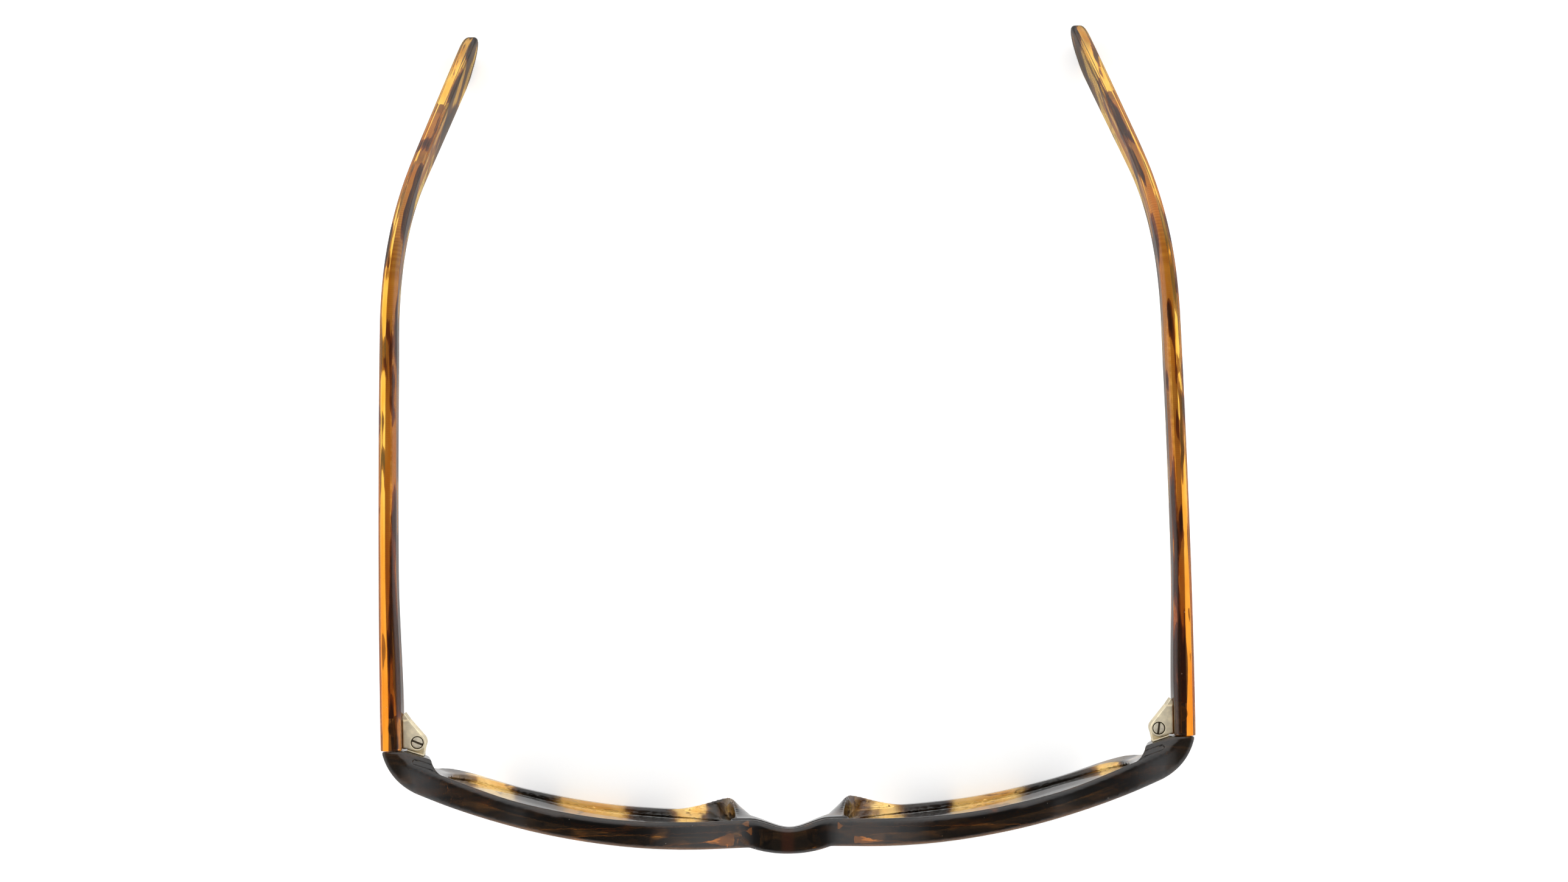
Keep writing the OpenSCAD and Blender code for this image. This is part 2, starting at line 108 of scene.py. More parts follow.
def spline(points, steps):
    """Catmull-Rom curve from the second point up to the last but one."""
    points = np.array(points, float)
    curve = []
    for i in range(1, len(points) - 2):
        a, b, c, d = points[i - 1:i + 3]
        for j in range(steps):
            t = j / steps
            curve.append(0.5 * (2 * b + (c - a) * t + (2 * a - 5 * b + 4 * c - d) * t * t
                                + (3 * b - a - 3 * c + d) * t ** 3))
    return np.array(curve)


def eye_point(degrees):
    """x, z on the left lens opening."""
    angle = np.radians(degrees)
    cos, sin = np.cos(angle), np.sin(angle)
    radius = (np.abs(cos / (LENS_WIDTH / 2)) ** EYE_POWER
              + np.abs(sin / (LENS_HEIGHT / 2)) ** EYE_POWER) ** (-1 / EYE_POWER)
    z = radius * sin
    taper = 1 - EYE_TAPER / 2 + EYE_TAPER * z / (LENS_HEIGHT / 2)
    return np.stack([radius * cos * taper + EYE_X, z + EYE_Z], -1)


def rim_point(degrees):
    """x, z on the outside of the rim round the left opening."""
    angle = math.radians(degrees)
    cos, sin = math.cos(angle), math.sin(angle)
    across = RIM_SIDE if cos > 0 else RIM_NOSE
    upright = RIM_TOP if sin > 0 else RIM_BOTTOM
    width = across * cos * cos + upright * sin * sin
    run = eye_point(degrees + 0.5) - eye_point(degrees - 0.5)
    return eye_point(degrees) + width * np.array([run[1], -run[0]]) / np.hypot(*run)


def offset(loop, distance):
    """Closed loop moved outward."""
    run = np.roll(loop, -1, 0) - np.roll(loop, 1, 0)
    normal = np.stack([run[:, 1], -run[:, 0]], -1)
    return loop + distance * normal / np.linalg.norm(normal, axis=1)[:, None]


# x, z of the left half outline: over the top from the bridge, round the end piece, under the rim
OUTLINE_CONTROL = [
    [-7, BRIDGE_TOP + 0.3], [0, BRIDGE_TOP], [7, BRIDGE_TOP + 0.3],
    *(rim_point(a) for a in (138, 122, 106, 90, 76, 62, 50)),
    [HALF_WIDTH - 10.5, HINGE_Z + 8.3], [HALF_WIDTH - 4.5, HINGE_Z + 6.7],
    [HALF_WIDTH - 0.9, HINGE_Z + 6], [HALF_WIDTH, HINGE_Z + 5.1],
    [HALF_WIDTH, HINGE_Z], [HALF_WIDTH, HINGE_Z - 5.0],
    [HALF_WIDTH - 0.9, HINGE_Z - 5.9], [HALF_WIDTH - 3.2, HINGE_Z - 6.9],
    [HALF_WIDTH - 5.3, HINGE_Z - 9],
    *(rim_point(a) for a in (-8, -24, -38, -52, -66, -80, -94, -108, -122, -136, -150, -165, -178)),
    [rim_point(180)[0] - 0.7, BRIDGE_ARCH - 4],
    [3.2, BRIDGE_ARCH - 1.1], [0, BRIDGE_ARCH], [-3.2, BRIDGE_ARCH - 1.1],
]
half_outline = spline(OUTLINE_CONTROL, 12)
outline = np.concatenate([half_outline, [[0, BRIDGE_ARCH]], half_outline[:0:-1] * [-1, 1]])
eye = eye_point(np.arange(0, 360, 1.25))


def face_y(x):
    """Depth of the face without the bridge's swell: flat, arc, then corner arc."""
    x = np.abs(np.asarray(x, float))
    beyond = np.maximum(x, FACE_FLAT) - FACE_FLAT
    arc = BRIDGE_SWELL + FACE_RADIUS - np.sqrt(np.maximum(FACE_RADIUS ** 2 - beyond ** 2, 0))
    beyond = np.minimum(x, HALF_WIDTH) - CORNER_X
    corner = CORNER_Y - np.sqrt(np.maximum(CORNER_RADIUS ** 2 - beyond ** 2, 0))
    return np.where(x < FACE_FLAT, BRIDGE_SWELL, np.where(x < CORNER_START, arc, corner))


def front_y(x):
    x = np.abs(np.asarray(x, float))
    return np.where(x < BRIDGE_HALF, BRIDGE_SWELL * (x / BRIDGE_HALF) ** 2.2, face_y(x))


def rear_y(x):
    """Depth of the rear: hollow bridge, thinner rims, thicker again towards the ends."""
    x = np.abs(np.asarray(x, float))
    bridge = NOSE_DEPTH - BRIDGE_DIP * (1 - ease(x / BRIDGE_HALF))
    inner = eased(NOSE_DEPTH, RIM_DEPTH, (x - 16) / 18)
    outer = eased(RIM_DEPTH, RIM_DEPTH + 0.5, (x - 46) / 14)
    return face_y(x) + np.where(x < BRIDGE_HALF, bridge, np.where(x < 34, inner, outer))


# ------------------------------------------------------------------ distance fields
def polygon_field(polygon, x, y):
    """Signed distance (negative inside) of points x, y to a closed polygon."""
    px, py = x.ravel().astype(np.float64), y.ravel().astype(np.float64)
    nearest = np.full(px.shape, 1e18)
    inside = np.zeros(px.shape, bool)
    starts = np.asarray(polygon, float)
    for (ax, ay), (bx, by) in zip(starts, np.roll(starts, -1, 0)):
        ex, ey = bx - ax, by - ay
        length2 = ex * ex + ey * ey
        if length2 < 1e-14:
            continue
        qx, qy = px - ax, py - ay
        t = np.clip((qx * ex + qy * ey) / length2, 0, 1)
        dx, dy = qx - t * ex, qy - t * ey
        np.minimum(nearest, dx * dx + dy * dy, out=nearest)
        if ay != by:
            inside ^= ((ay > py) != (by > py)) & (px < (bx - ax) * (py - ay) / (by - ay) + ax)
    distance = np.sqrt(nearest)
    return np.where(inside, -distance, distance).reshape(x.shape)


def round_and(a, b, r):
    """Intersection of two solids whose shared edge is rounded to radius r."""
    outer = np.sqrt(np.maximum(r + a, 0) ** 2 + np.maximum(r + b, 0) ** 2)
    return np.minimum(-r, np.maximum(a, b)) + outer


def round_or(a, b, r):
    """Union of two solids with a fillet of radius r."""
    inner = np.sqrt(np.maximum(r - a, 0) ** 2 + np.maximum(r - b, 0) ** 2)
    return np.maximum(r, np.minimum(a, b)) - inner


def untangle(field, step):
    """Fill samples until no grid square is inside and outside in turn.

    Such a square would put four faces on one edge.
    """
    field = field.copy()
    for _ in range(40):
        found = 0
        for a, b in ((0, 1), (0, 2), (1, 2)):
            inside = []
            for p, q in ((0, 0), (1, 1), (0, 1), (1, 0)):
                part = [slice(None)] * 3
                part[a] = slice(p, field.shape[a] - 1 + p)
                part[b] = slice(q, field.shape[b] - 1 + q)
                inside.append(field[tuple(part)] < 0)
            squares = np.argwhere((inside[0] == inside[1]) & (inside[2] == inside[3])
                                  & (inside[0] != inside[2]))
            if len(squares) == 0:
                continue
            found += len(squares)
            corners = np.repeat(squares[:, None, :], 4, 1)
            corners[:, [1, 3], a] += 1
            corners[:, [1, 2], b] += 1
            values = field[corners[..., 0], corners[..., 1], corners[..., 2]]
            lowest = np.where(values < 0, np.inf, values).argmin(1)
            fill = corners[np.arange(len(squares)), lowest]
            field[fill[:, 0], fill[:, 1], fill[:, 2]] = -0.02 * step
        if found == 0:
            break
    return field


def surface(field, origin, step):
    """Quad mesh of a field's zero surface, by surface nets."""
    field = untangle(field, step)
    inside = field < 0
    size = np.array(field.shape)
    count = sum(inside[i:size[0] - 1 + i, j:size[1] - 1 + j, k:size[2] - 1 + k].astype(np.int8)
                for i in (0, 1) for j in (0, 1) for k in (0, 1))
    active = (count > 0) & (count < 8)
    cells = np.argwhere(active)
    index = np.full(active.shape, -1, np.int64)
    index[active] = np.arange(len(cells))

    # each cell's vertex is the mean of the crossings on its twelve edges
    total = np.zeros((len(cells), 3))
    crossings = np.zeros(len(cells))
    for axis in range(3):
        others = [d for d in range(3) if d != axis]
        for p in (0, 1):
            for q in (0, 1):
                start = np.zeros(3, int)
                start[others] = p, q
                end = start.copy()
                end[axis] = 1
                v0 = field[tuple((cells + start).T)]
                v1 = field[tuple((cells + end).T)]
                cross = (v0 < 0) != (v1 < 0)
                point = (cells + start).astype(float)
                point[:, axis] += np.where(cross, v0 / np.where(cross, v0 - v1, 1), 0)
                total += np.where(cross[:, None], point, 0)
                crossings += cross
    verts = total / crossings[:, None] * step + origin

    # one quad round every grid edge that crosses the surface
    faces = []
    for axis in range(3):
        b, c = [d for d in range(3) if d != axis]
        low, high = [slice(None)] * 3, [slice(None)] * 3
        low[axis], high[axis] = slice(0, size[axis] - 1), slice(1, size[axis])
        low_inside = inside[tuple(low)]
        edges = np.argwhere(low_inside != inside[tuple(high)])
        edges = edges[(edges[:, b] > 0) & (edges[:, c] > 0)
                      & (edges[:, b] < size[b] - 1) & (edges[:, c] < size[c] - 1)]
        step_b, step_c = np.zeros(3, int), np.zeros(3, int)
        step_b[b], step_c[c] = 1, 1
        around = (edges - step_b - step_c, edges - step_c, edges, edges - step_b)
        quads = np.stack([index[tuple(cell.T)] for cell in around], 1)
        outward = low_inside[tuple(edges.T)]
        if axis == 1:
            outward = ~outward
        quads[~outward] = quads[~outward][:, ::-1]
        faces.append(quads)
    return verts, np.concatenate(faces)


# ------------------------------------------------------------------ mesh objects
def make(name, mesh, body, material, replaces, angle):
    """Mesh object from verts (mm) and faces, riding on a body, sharp above angle degrees."""
    verts, faces = mesh
    me = bpy.data.meshes.new(name)
    me.from_pydata((np.asarray(verts, float) * MM).tolist(), [],
                   [list(map(int, face)) for face in faces])
    me.validate()
    bm = bmesh.new()
    bm.from_mesh(me)
    bmesh.ops.remove_doubles(bm, verts=bm.verts, dist=2e-7)
    bmesh.ops.dissolve_degenerate(bm, edges=bm.edges, dist=1e-7)
    loose = [v for v in bm.verts if not v.link_faces]
    if loose:
        bmesh.ops.delete(bm, geom=loose, context="VERTS")
    bmesh.ops.recalc_face_normals(bm, faces=bm.faces)
    bm.to_mesh(me)
    bm.free()
    me.shade_smooth()
    me.set_sharp_from_angle(angle=math.radians(angle))
    ob = bpy.data.objects.new(name, me)
    bpy.context.scene.collection.objects.link(ob)
    ob.data.materials.append(material)
    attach(ob, body)
    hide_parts(*replaces)


def tilted(verts):
    """Points of the upright front, leaned back about the pin and set in place."""
    y, z = verts[:, 1] - PIN_DEPTH, verts[:, 2] - HINGE_Z
    cos, sin = math.cos(TILT), math.sin(TILT)
    return np.stack([verts[:, 0], PIN_Y + y * cos - z * sin, HINGE_Z + y * sin + z * cos], 1)


def tube_faces(rings, size, first=0):
    """Quads between successive rings of vertices."""
    faces = []
    for k in range(rings - 1):
        a = first + k * size
        b = a + size
        for i in range(size):
            j = (i + 1) % size
            faces.append([a + i, a + j, b + j, b + i])
    return faces


# ------------------------------------------------------------------ the front
# plan polygons (x, y) of the front run on to these bounds, clear of the part
SLAB_END, FAR_REAR, FAR_FRONT, FAR_OUT = 64.5, 40, -20, 85
BLOCK_INNER = HALF_WIDTH - 15.5
# x from the front's end, depth from the butt face: inner wall of the end piece
BLOCK_WALL = [[-2, 1.2], [-4.2, 1], [-7, 0.1], [-8.7, -0.9], [-8.95, -2.0],
              [-9.5, -3.1], [-10.2, -4.2], [-12, -6.0], [-14.5, -7.6]]
# x, y: crease on the end piece, carrying on the rim's ridge
CREASE = [[67.6, 19.6], [66.7, 18.3], [65.3, 16.85], [63.2, 15.95], [59.9, 14.75], [55, 13.1],
          [50, 11.9], [40, 9.5], [40, 40], [67.6, 40]]
# x and height of the top above that crease
CREASE_TOP = [[50, 55, 59.5, 65.5, 68, 71], [40.6, 40.3, 39.15, 37.62, 37.1, 36.6]]
# x, y from the pin: recess for the front hinge leaf
BUTT_FROM_PIN = BUTT_DEPTH - PIN_DEPTH
SEAT = [[8, BUTT_FROM_PIN], [2, BUTT_FROM_PIN], [-2.8, -3], [-2.95, -3.2], [-2.95, 3], [8, 3]]


def slab_fields(x, y):
    """Plan fields behind the front face and before the rear face."""
    u = np.concatenate([np.linspace(0, BRIDGE_HALF, 29)[:-1], np.arange(7, 65, 0.5)])
    u = np.concatenate([-u[::-1], u[1:]])
    front = np.stack([u, front_y(u)], 1)
    rear = np.stack([u, rear_y(u)], 1)[::-1]
    behind = np.concatenate([front, [[SLAB_END, FAR_REAR], [-SLAB_END, FAR_REAR]]])
    before = np.concatenate([[[-SLAB_END, FAR_FRONT], [SLAB_END, FAR_FRONT]], rear])
    return polygon_field(behind, x, y), polygon_field(before, x, y)


def block_fields(x, y):
    """Plan fields of the end piece: behind its face, and before its rear wall."""
    start = np.radians(24)
    end = math.acos((CORNER_Y - BUTT_DEPTH + 0.3) / CORNER_RADIUS)
    arc = start + (end - start) * np.arange(25) / 24
    u = np.concatenate([np.arange(57, 64.8, 0.4), CORNER_X + CORNER_RADIUS * np.sin(arc)])
    face = np.concatenate([np.stack([u, face_y(u)], 1),
                           [[HALF_WIDTH, FAR_REAR], [BLOCK_INNER, FAR_REAR], [BLOCK_INNER, 9.0]]])
    control = [[HALF_WIDTH + dx, BUTT_DEPTH + dy] for dx, dy in BLOCK_WALL]
    wall = np.concatenate([[[FAR_OUT, BUTT_DEPTH + 1]],
                           spline(control + [[BLOCK_INNER, 9.4]], 6),
                           [[BLOCK_INNER, 9.0], [BLOCK_INNER, FAR_FRONT], [FAR_OUT, FAR_FRONT]]])
    return polygon_field(face, x, y), polygon_field(wall, x, y)


def outline_field(x, z):
    """Front view outline, let out at the ends, where the plan arc bounds the front instead."""
    ox, oz = outline[:, 0], outline[:, 1]
    let_out = 1.6 * ease((np.abs(ox) - HALF_WIDTH + 3.5) / 3.5)
    return polygon_field(np.stack([ox + np.sign(ox) * let_out, oz], 1), x, z)


def block_mask(x, z):
    """Front view of the end piece's block, a soft-cornered oval round the hinge."""
    def power(v):
        return np.sign(v) * np.abs(v) ** 0.6
    angle = np.radians(np.arange(0, 360, 3))
    oval = np.stack([HALF_WIDTH - 6 + 9.5 * power(np.cos(angle)),
                     HINGE_Z + 7.4 * power(np.sin(angle))], 1)
    return polygon_field(oval, x, z)


def rear_draw(outer, half_x, grid_z):
    """How far the rear face draws in below the crest of the rim."""
    crest = np.array([grid_z[c < 0].max() if (c < 0).any() else 38.0 for c in outer])
    cap = 0.32 + 0.5 * ease((half_x - 46) / 7)
    below = np.maximum(crest[:, None] - 0.8 - grid_z[None, :], 0)
    return np.minimum(0.075 * below, cap[:, None]) * ease((grid_z - 4.5) / 11)[None, :]


def pad_fin(outer, hole, x, z):
    """Height of the nose pad, a fin along the nasal edge of each opening."""
    across = np.clip(-outer / np.maximum(hole - outer, 1e-6), 0, 1)
    angle = np.degrees(np.arctan2(z - EYE_Z, x - EYE_X)) % 360
    rise = np.where(angle < 195, ease((angle - 160) / 35), 1 - ease((angle - 195) / 37))
    return 3.1 * rise * across ** 1.25 * (x < 30)


def groove_field(hole, X, Y, Z):
    """Lens and its groove: between two spheres, a little wider than the opening."""
    ball = np.sqrt((X - LENS_CX) ** 2 + (Y - LENS_CY) ** 2 + (Z - EYE_Z) ** 2) - LENS_RADIUS
    shell = np.maximum(ball, -ball - LENS_DEPTH - 2 * FIT)
    return np.maximum(hole - GROOVE, shell)


def seat_field(seat, shape, grid_y, grid_z, step):
    """Hinge seat, upright while the front leans, so its plan shifts with height."""
    field = np.empty(shape)
    for k, z in enumerate(grid_z):
        y = (PIN_DEPTH + (grid_y - PIN_DEPTH) * math.cos(TILT) - (z - HINGE_Z) * math.sin(TILT))
        j = np.clip((y - grid_y[0]) / step, 0, len(grid_y) - 1.001)
        j0 = j.astype(int)
        t = (j - j0)[None, :]
        field[:, :, k] = seat[:, j0] * (1 - t) + seat[:, j0 + 1] * t
    return field


def front_mesh(step):
    half_x = np.arange(math.ceil(71.0 / step) + 1) * step
    grid_y = np.arange(-1.0, 20.9, step)
    grid_z = np.arange(-1.0, 43.2, step)
    X, Y, Z = half_x[:, None, None], grid_y[None, :, None], grid_z[None, None, :]

    plan = np.meshgrid(half_x, grid_y, indexing="ij")
    slab_front, slab_rear = slab_fields(*plan)
    block_front, block_rear = block_fields(*plan)
    seat = polygon_field(np.array(SEAT) + [PIN_X, PIN_DEPTH], *plan)
    crease = polygon_field(np.array(CREASE), *plan)

    view = np.meshgrid(half_x, grid_z, indexing="ij")
    outer = outline_field(*view)
    hole = polygon_field(eye, *view)
    mask = block_mask(*view)
    draw = rear_draw(outer, half_x, grid_z)
    fin = pad_fin(outer, hole, *view)

    # edge radii: the rear's gets small where the corner is chamfered
    rear_radius = 1.0 - 0.62 * ease((X - 57) / 4.5)
    front_radius = 0.5 + 0.2 * ease((X - 58) / 4) - 0.35 * ease((X - 65) / 4)
    depth = ease((Y - face_y(X) - 1.2) / 2.2)
    radius = front_radius + (rear_radius - front_radius) * depth

    # the end piece's rear wall draws in as it goes down
    block = np.empty((len(half_x), len(grid_y), len(grid_z)))
    for k, z in enumerate(grid_z):
        block[:, :, k] = np.maximum(block_front, block_rear + 0.08 * max(38.6 - z, 0))
    slab = np.maximum(slab_front[:, :, None], slab_rear[:, :, None] + draw[:, None, :])
    body = round_or(slab, round_and(block, mask[:, None, :], 1.2), 0.6 * depth + 1e-4)
    pad = np.maximum((Y - rear_y(X) - fin[:, None, :]) * 0.9, face_y(X) + 2.5 - Y)
    pad = np.where((fin > 0.004)[:, None, :], pad, 1.0)
    body = np.minimum(body, pad)
    body = round_and(body, outer[:, None, :] + 0 * Y, radius)
    # the end piece's rear corner slopes away behind the crease
    crease_top = np.interp(half_x, *CREASE_TOP)[:, None, None]
    slope = (Z - crease_top - 0.85 * crease[:, :, None]) / math.hypot(1, 0.85)
    body = round_and(body, slope, 0.3)
    body = round_and(body, -hole[:, None, :] + 0 * Y, 0.5 + 0.12 * depth)
    body = np.maximum(body, -groove_field(hole[:, None, :], X, Y, Z))
    body = round_and(body, -seat_field(seat, body.shape, grid_y, grid_z, step), 0.16)

    body = np.concatenate([body[:0:-1], body], 0)
    verts, faces = surface(body, np.array([-half_x[-1], grid_y[0], grid_z[0]]), step)
    verts = tilted(verts)
    verts[:, 2] = np.maximum(verts[:, 2], 0.0)
    return verts, faces


# ------------------------------------------------------------------ lenses
LENS_SLACK, LENS_BEVEL = 0.01, 0.10
LENS_SCALES = (0.12, 0.24, 0.36, 0.48, 0.6, 0.7, 0.79, 0.87, 0.93, 0.97, 0.99)


def lens_points(loop, depth):
    """Points x, z set on the sphere that lies depth behind the groove's front sphere."""
    x, z = loop[:, 0], loop[:, 1]
    y = LENS_CY - np.sqrt((LENS_RADIUS - depth) ** 2 - (x - LENS_CX) ** 2 - (z - EYE_Z) ** 2)
    return np.stack([x, y, z], 1)


def lens_mesh(mirror):
    edge = offset(eye, GROOVE - FIT - LENS_SLACK)
    bevel = offset(eye, GROOVE - FIT - LENS_SLACK - LENS_BEVEL)
    centre = np.array([[EYE_X, EYE_Z]])
    front, rear = FIT + LENS_SLACK, LENS_DEPTH + FIT - LENS_SLACK
    scaled = [centre + (edge - centre) * scale for scale in LENS_SCALES]
    layers = [(loop, front) for loop in scaled]
    layers += [(bevel, front), (edge, front + LENS_BEVEL),
               (edge, rear - LENS_BEVEL), (bevel, rear)]
    layers += [(loop, rear) for loop in scaled[::-1]]
    verts = np.concatenate([lens_points(loop, depth) for loop, depth in
                            [(centre, front), *layers, (centre, rear)]])

    n = len(edge)
    faces = tube_faces(len(layers), n, first=1)
    last = len(verts) - 1
    for i in range(n):
        j = (i + 1) % n
        faces.append([0, 1 + j, 1 + i])
        faces.append([last, last - n + i, last - n + j])
    return tilted(verts) * [mirror, 1, 1], faces


# ------------------------------------------------------------------ temples
TEMPLE_START, START_ROUND = -1.3, 0.2       # path position of the end face, its edge rounding
STATION_STEP = 0.9
FLAT_PARTS, ARC_PARTS, WALL_PARTS = 4, 6, 9


def section_points():
    """Once round the section from the top's inner end: (kind, side, up, value).

    Side is 1 outside and -1 inside. The value is the place across a flat, the degrees
    round an edge arc, or the height fraction up a wall.
    """
    points = []
    for side in (1, -1):
        points += [("flat", side, side, side * (-1 + 2 * k / FLAT_PARTS))
                   for k in range(FLAT_PARTS + 1)]
        points += [("arc", side, side, k / ARC_PARTS * 90) for k in range(1, ARC_PARTS + 1)]
        points += [("wall", side, 1, side * (1 - 2 * k / WALL_PARTS))
                   for k in range(1, WALL_PARTS)]
        points += [("arc", side, -side, k / ARC_PARTS * 90) for k in range(ARC_PARTS, 0, -1)]
    return points


SECTION = section_points()


def path(s):
    """Downward angle and y, z from the pin at length s along the temple."""
    if s < BEND_START:
        return 0.0, (s, 0.0)
    a = min((s - BEND_START) / BEND_RADIUS, BEND_ANGLE)
    run = max(s - BEND_START - BEND_LENGTH, 0)
    return a, (BEND_START + BEND_RADIUS * math.sin(a) + run * math.cos(a),
               -BEND_RADIUS * (1 - math.cos(a)) - run * math.sin(a))


def half_height(s):
    if s < 60:
        return float(eased(TEMPLE_HEIGHT, SHANK_HEIGHT, s / 60)) / 2
    return float(eased(SHANK_HEIGHT, TIP_HEIGHT, (s - 84) / (PATH_LENGTH - 84))) / 2


def inward(t):
    """How far the outer face has moved inward at t along the leaning axis."""
    d = t - TURN_START
    turn = TURN_SLOPE * d + TURN_RATE * d * d / 2
    tip = (TURN_SLOPE * TURN_LENGTH + TURN_RATE * TURN_LENGTH ** 2 / 2
           + TIP_SLOPE * (d - TURN_LENGTH))
    late = BOW * TURN_START ** 2 + np.where(d < TURN_LENGTH, turn, tip)
    return np.where(t < 0, 0, np.where(t < TURN_START, BOW * t * t, late))


def thickness(t):
    return np.where(t < 30, eased(TEMPLE_THICK, SHANK_THICK, (t - 6) / 24),
                    eased(SHANK_THICK, TIP_THICK, (t - 60) / 40))


def temple_ring(s, ahead=0.0, shrink=0.0):
    """Section at s, moved ahead within the rounded tip, or shrunk on all sides."""
    a, (centre_y, centre_z) = path(s)
    half = half_height(s)
    squash = math.sqrt(max(half * half - ahead * ahead, 0)) / half
    fade = float(ease((s - 70) / 40))
    radii = {1: 0.62 + 0.1 * fade, -1: 0.95 - 0.05 * fade}
    points = []
    for kind, side, up, value in SECTION:
        r = radii[side]
        if kind == "flat":
            h = half * up
        elif kind == "arc":
            h = (half - r * (1 - math.cos(math.radians(value)))) * up
        else:
            h = (half - r) * value
        h *= squash
        from_edge = min(max(half - math.hypot(ahead, h), 0), r)
        h -= math.copysign(min(shrink, abs(h)), h)
        y = centre_y + h * math.sin(a) + ahead * math.cos(a)
        z = centre_z + h * math.cos(a) - ahead * math.sin(a)
        t = y * math.cos(LEAN) - z * math.sin(LEAN)
        thick = float(thickness(t))
        if kind == "flat":
            inner, outer = -(thick / 2 - radii[-1]), thick / 2 - radii[1]
            across = (inner + (outer - inner) * (value + 1) / 2) * (1 - shrink / thick)
        else:
            rounding = r - math.sqrt(max(r * r - (r - from_edge) ** 2, 0))
            across = side * (thick / 2 - rounding - shrink)
        x = HALF_WIDTH - float(inward(t)) - thick / 2 + across
        points.append([x, PIN_Y + y, max(HINGE_Z + z, 0.004)])
    return points


def temple_mesh(mirror):
    rings = []
    for k in range(4):
        b = math.radians(90 * k / 4)
        rings.append(temple_ring(TEMPLE_START + START_ROUND * (1 - math.cos(b)),
                                 shrink=START_ROUND * (1 - math.sin(b))))
    stations = [*np.arange(TEMPLE_START + START_ROUND, BEND_START, STATION_STEP),
                *np.arange(BEND_START, PATH_LENGTH, STATION_STEP * 0.75), PATH_LENGTH]
    rings += [temple_ring(float(s)) for s in stations]
    tip_radius = half_height(PATH_LENGTH)
    for k in range(1, 19):
        rings.append(temple_ring(PATH_LENGTH, tip_radius * math.sin(math.radians(90 * k / 18))))
    faces = tube_faces(len(rings), len(SECTION))
    faces.append(list(range(len(SECTION))))
    return np.concatenate(rings) * [mirror, 1, 1], faces


# ------------------------------------------------------------------ hinges, about the pin
KNUCKLE_RADIUS, KNUCKLE_HEIGHT, KNUCKLE_GAP = 1.5, 1.3, 0.04
HEAD_RADIUS, SCREW_RADIUS, BORE_GAP = 1.0, 0.7, 0.05
BARREL_HEIGHT = 5 * KNUCKLE_HEIGHT + 4 * KNUCKLE_GAP
LEAF_X = PIN_INSET - TEMPLE_THICK           # the temple's inner face
SEAT_ANGLE = math.atan2(1.6, 4.8)


def knuckle_z(i):
    """Bottom of a knuckle, counted from the top."""
    return BARREL_HEIGHT / 2 - (i + 1) * KNUCKLE_HEIGHT - i * KNUCKLE_GAP


BARREL_TOP = knuckle_z(0) + KNUCKLE_HEIGHT


def tangent_point(p, side):
    """Where a tangent from p touches the knuckle's circle."""
    a = math.atan2(p[1], p[0]) + side * math.acos(KNUCKLE_RADIUS / math.hypot(*p))
    return [KNUCKLE_RADIUS * math.cos(a), KNUCKLE_RADIUS * math.sin(a)]


def grid(low, high, step):
    axes = [np.arange(a, b + step, step) for a, b in zip(low, high)]
    return np.array(low), np.meshgrid(*axes, indexing="ij")


def box(points, x_span, y_span, z_span, r=0.06):
    """Box with rounded edges."""
    q = [np.abs(v - (a + b) / 2) - (b - a) / 2 + r
         for v, (a, b) in zip(points, (x_span, y_span, z_span))]
    out = np.sqrt(sum(np.maximum(v, 0) ** 2 for v in q))
    return out + np.minimum(np.maximum(np.maximum(q[0], q[1]), q[2]), 0) - r


def prism(plan, z, z0, z1, r):
    return round_and(plan, np.abs(z - (z0 + z1) / 2) - (z1 - z0) / 2, r)


def knuckle_plan(p, q, r, x, y):
    """Knuckle circle with a web out to the corners p, q and r."""
    web = polygon_field([p, q, r, tangent_point(r, 1), [0, 0], tangent_point(p, -1)], x, y)
    return np.minimum(np.hypot(x, y) - KNUCKLE_RADIUS, web)[:, :, None]


def knuckle(plan, z, i, r):
    return prism(plan, z, knuckle_z(i), knuckle_z(i) + KNUCKLE_HEIGHT, r)


def temple_hinge_mesh(step):
    origin, (X, Y, Z) = grid((-1.9, -1.7, -4.2), (5.4, 5.5, 3.65), step)
    x, y = X[:, :, 0], Y[:, :, 0]
    plan = knuckle_plan([LEAF_X - 0.12, -0.9], [LEAF_X - 0.12, 3.9], [LEAF_X - 1.3, 3.9], x, y)
    field = np.full(X.shape, 9.0)
    for i, edge in ((0, 0.2), (2, 0.12), (4, 0.12)):
        field = np.minimum(field, knuckle(plan, Z, i, edge))
    plate = polygon_field([[LEAF_X - FIT, -1.1], [LEAF_X - FIT, 4.6], [LEAF_X - 0.42, 5.08],
                           [LEAF_X - 1.25, 3.93], [LEAF_X - 0.75, 3.2], [LEAF_X - 0.6, -1.1]],
                          x, y)[:, :, None]
    plate = prism(plate, Z, -BARREL_HEIGHT / 2 - 0.5, BARREL_HEIGHT / 2 - 0.5, 0.1)
    field = round_or(field, plate, 0.1)
    # foot sunk in the temple: neck, block and oval disc
    neck = box((X, Y, Z), (LEAF_X - 0.1, LEAF_X + 0.6), (0.7, 4.1), (-1.6, 1.6))
    foot = box((X, Y, Z), (LEAF_X + 0.5, LEAF_X + 1.4), (-0.9, 4.6), (-2.4, 2.4))
    oval = np.hypot((x - LEAF_X - 0.5) / 2.0, (y - 2.4) / 1.62)[:, :, None] * 1.8 - 1.8
    disc = prism(np.maximum(oval, LEAF_X + 0.6 - X), Z, -0.9, 0.9, 0.15)
    field = np.minimum(field, np.minimum(np.minimum(neck, foot), disc))
    # bore for the screw and recess for its head
    from_pin = np.hypot(X, Y)
    bore = np.maximum(from_pin - SCREW_RADIUS - BORE_GAP, knuckle_z(4) - 1 - Z)
    field = np.maximum(field, -bore)
    recess = np.maximum(from_pin - HEAD_RADIUS - 0.11, BARREL_TOP - 0.5 - Z)
    return surface(round_and(field, -recess, 0.06), origin, step)


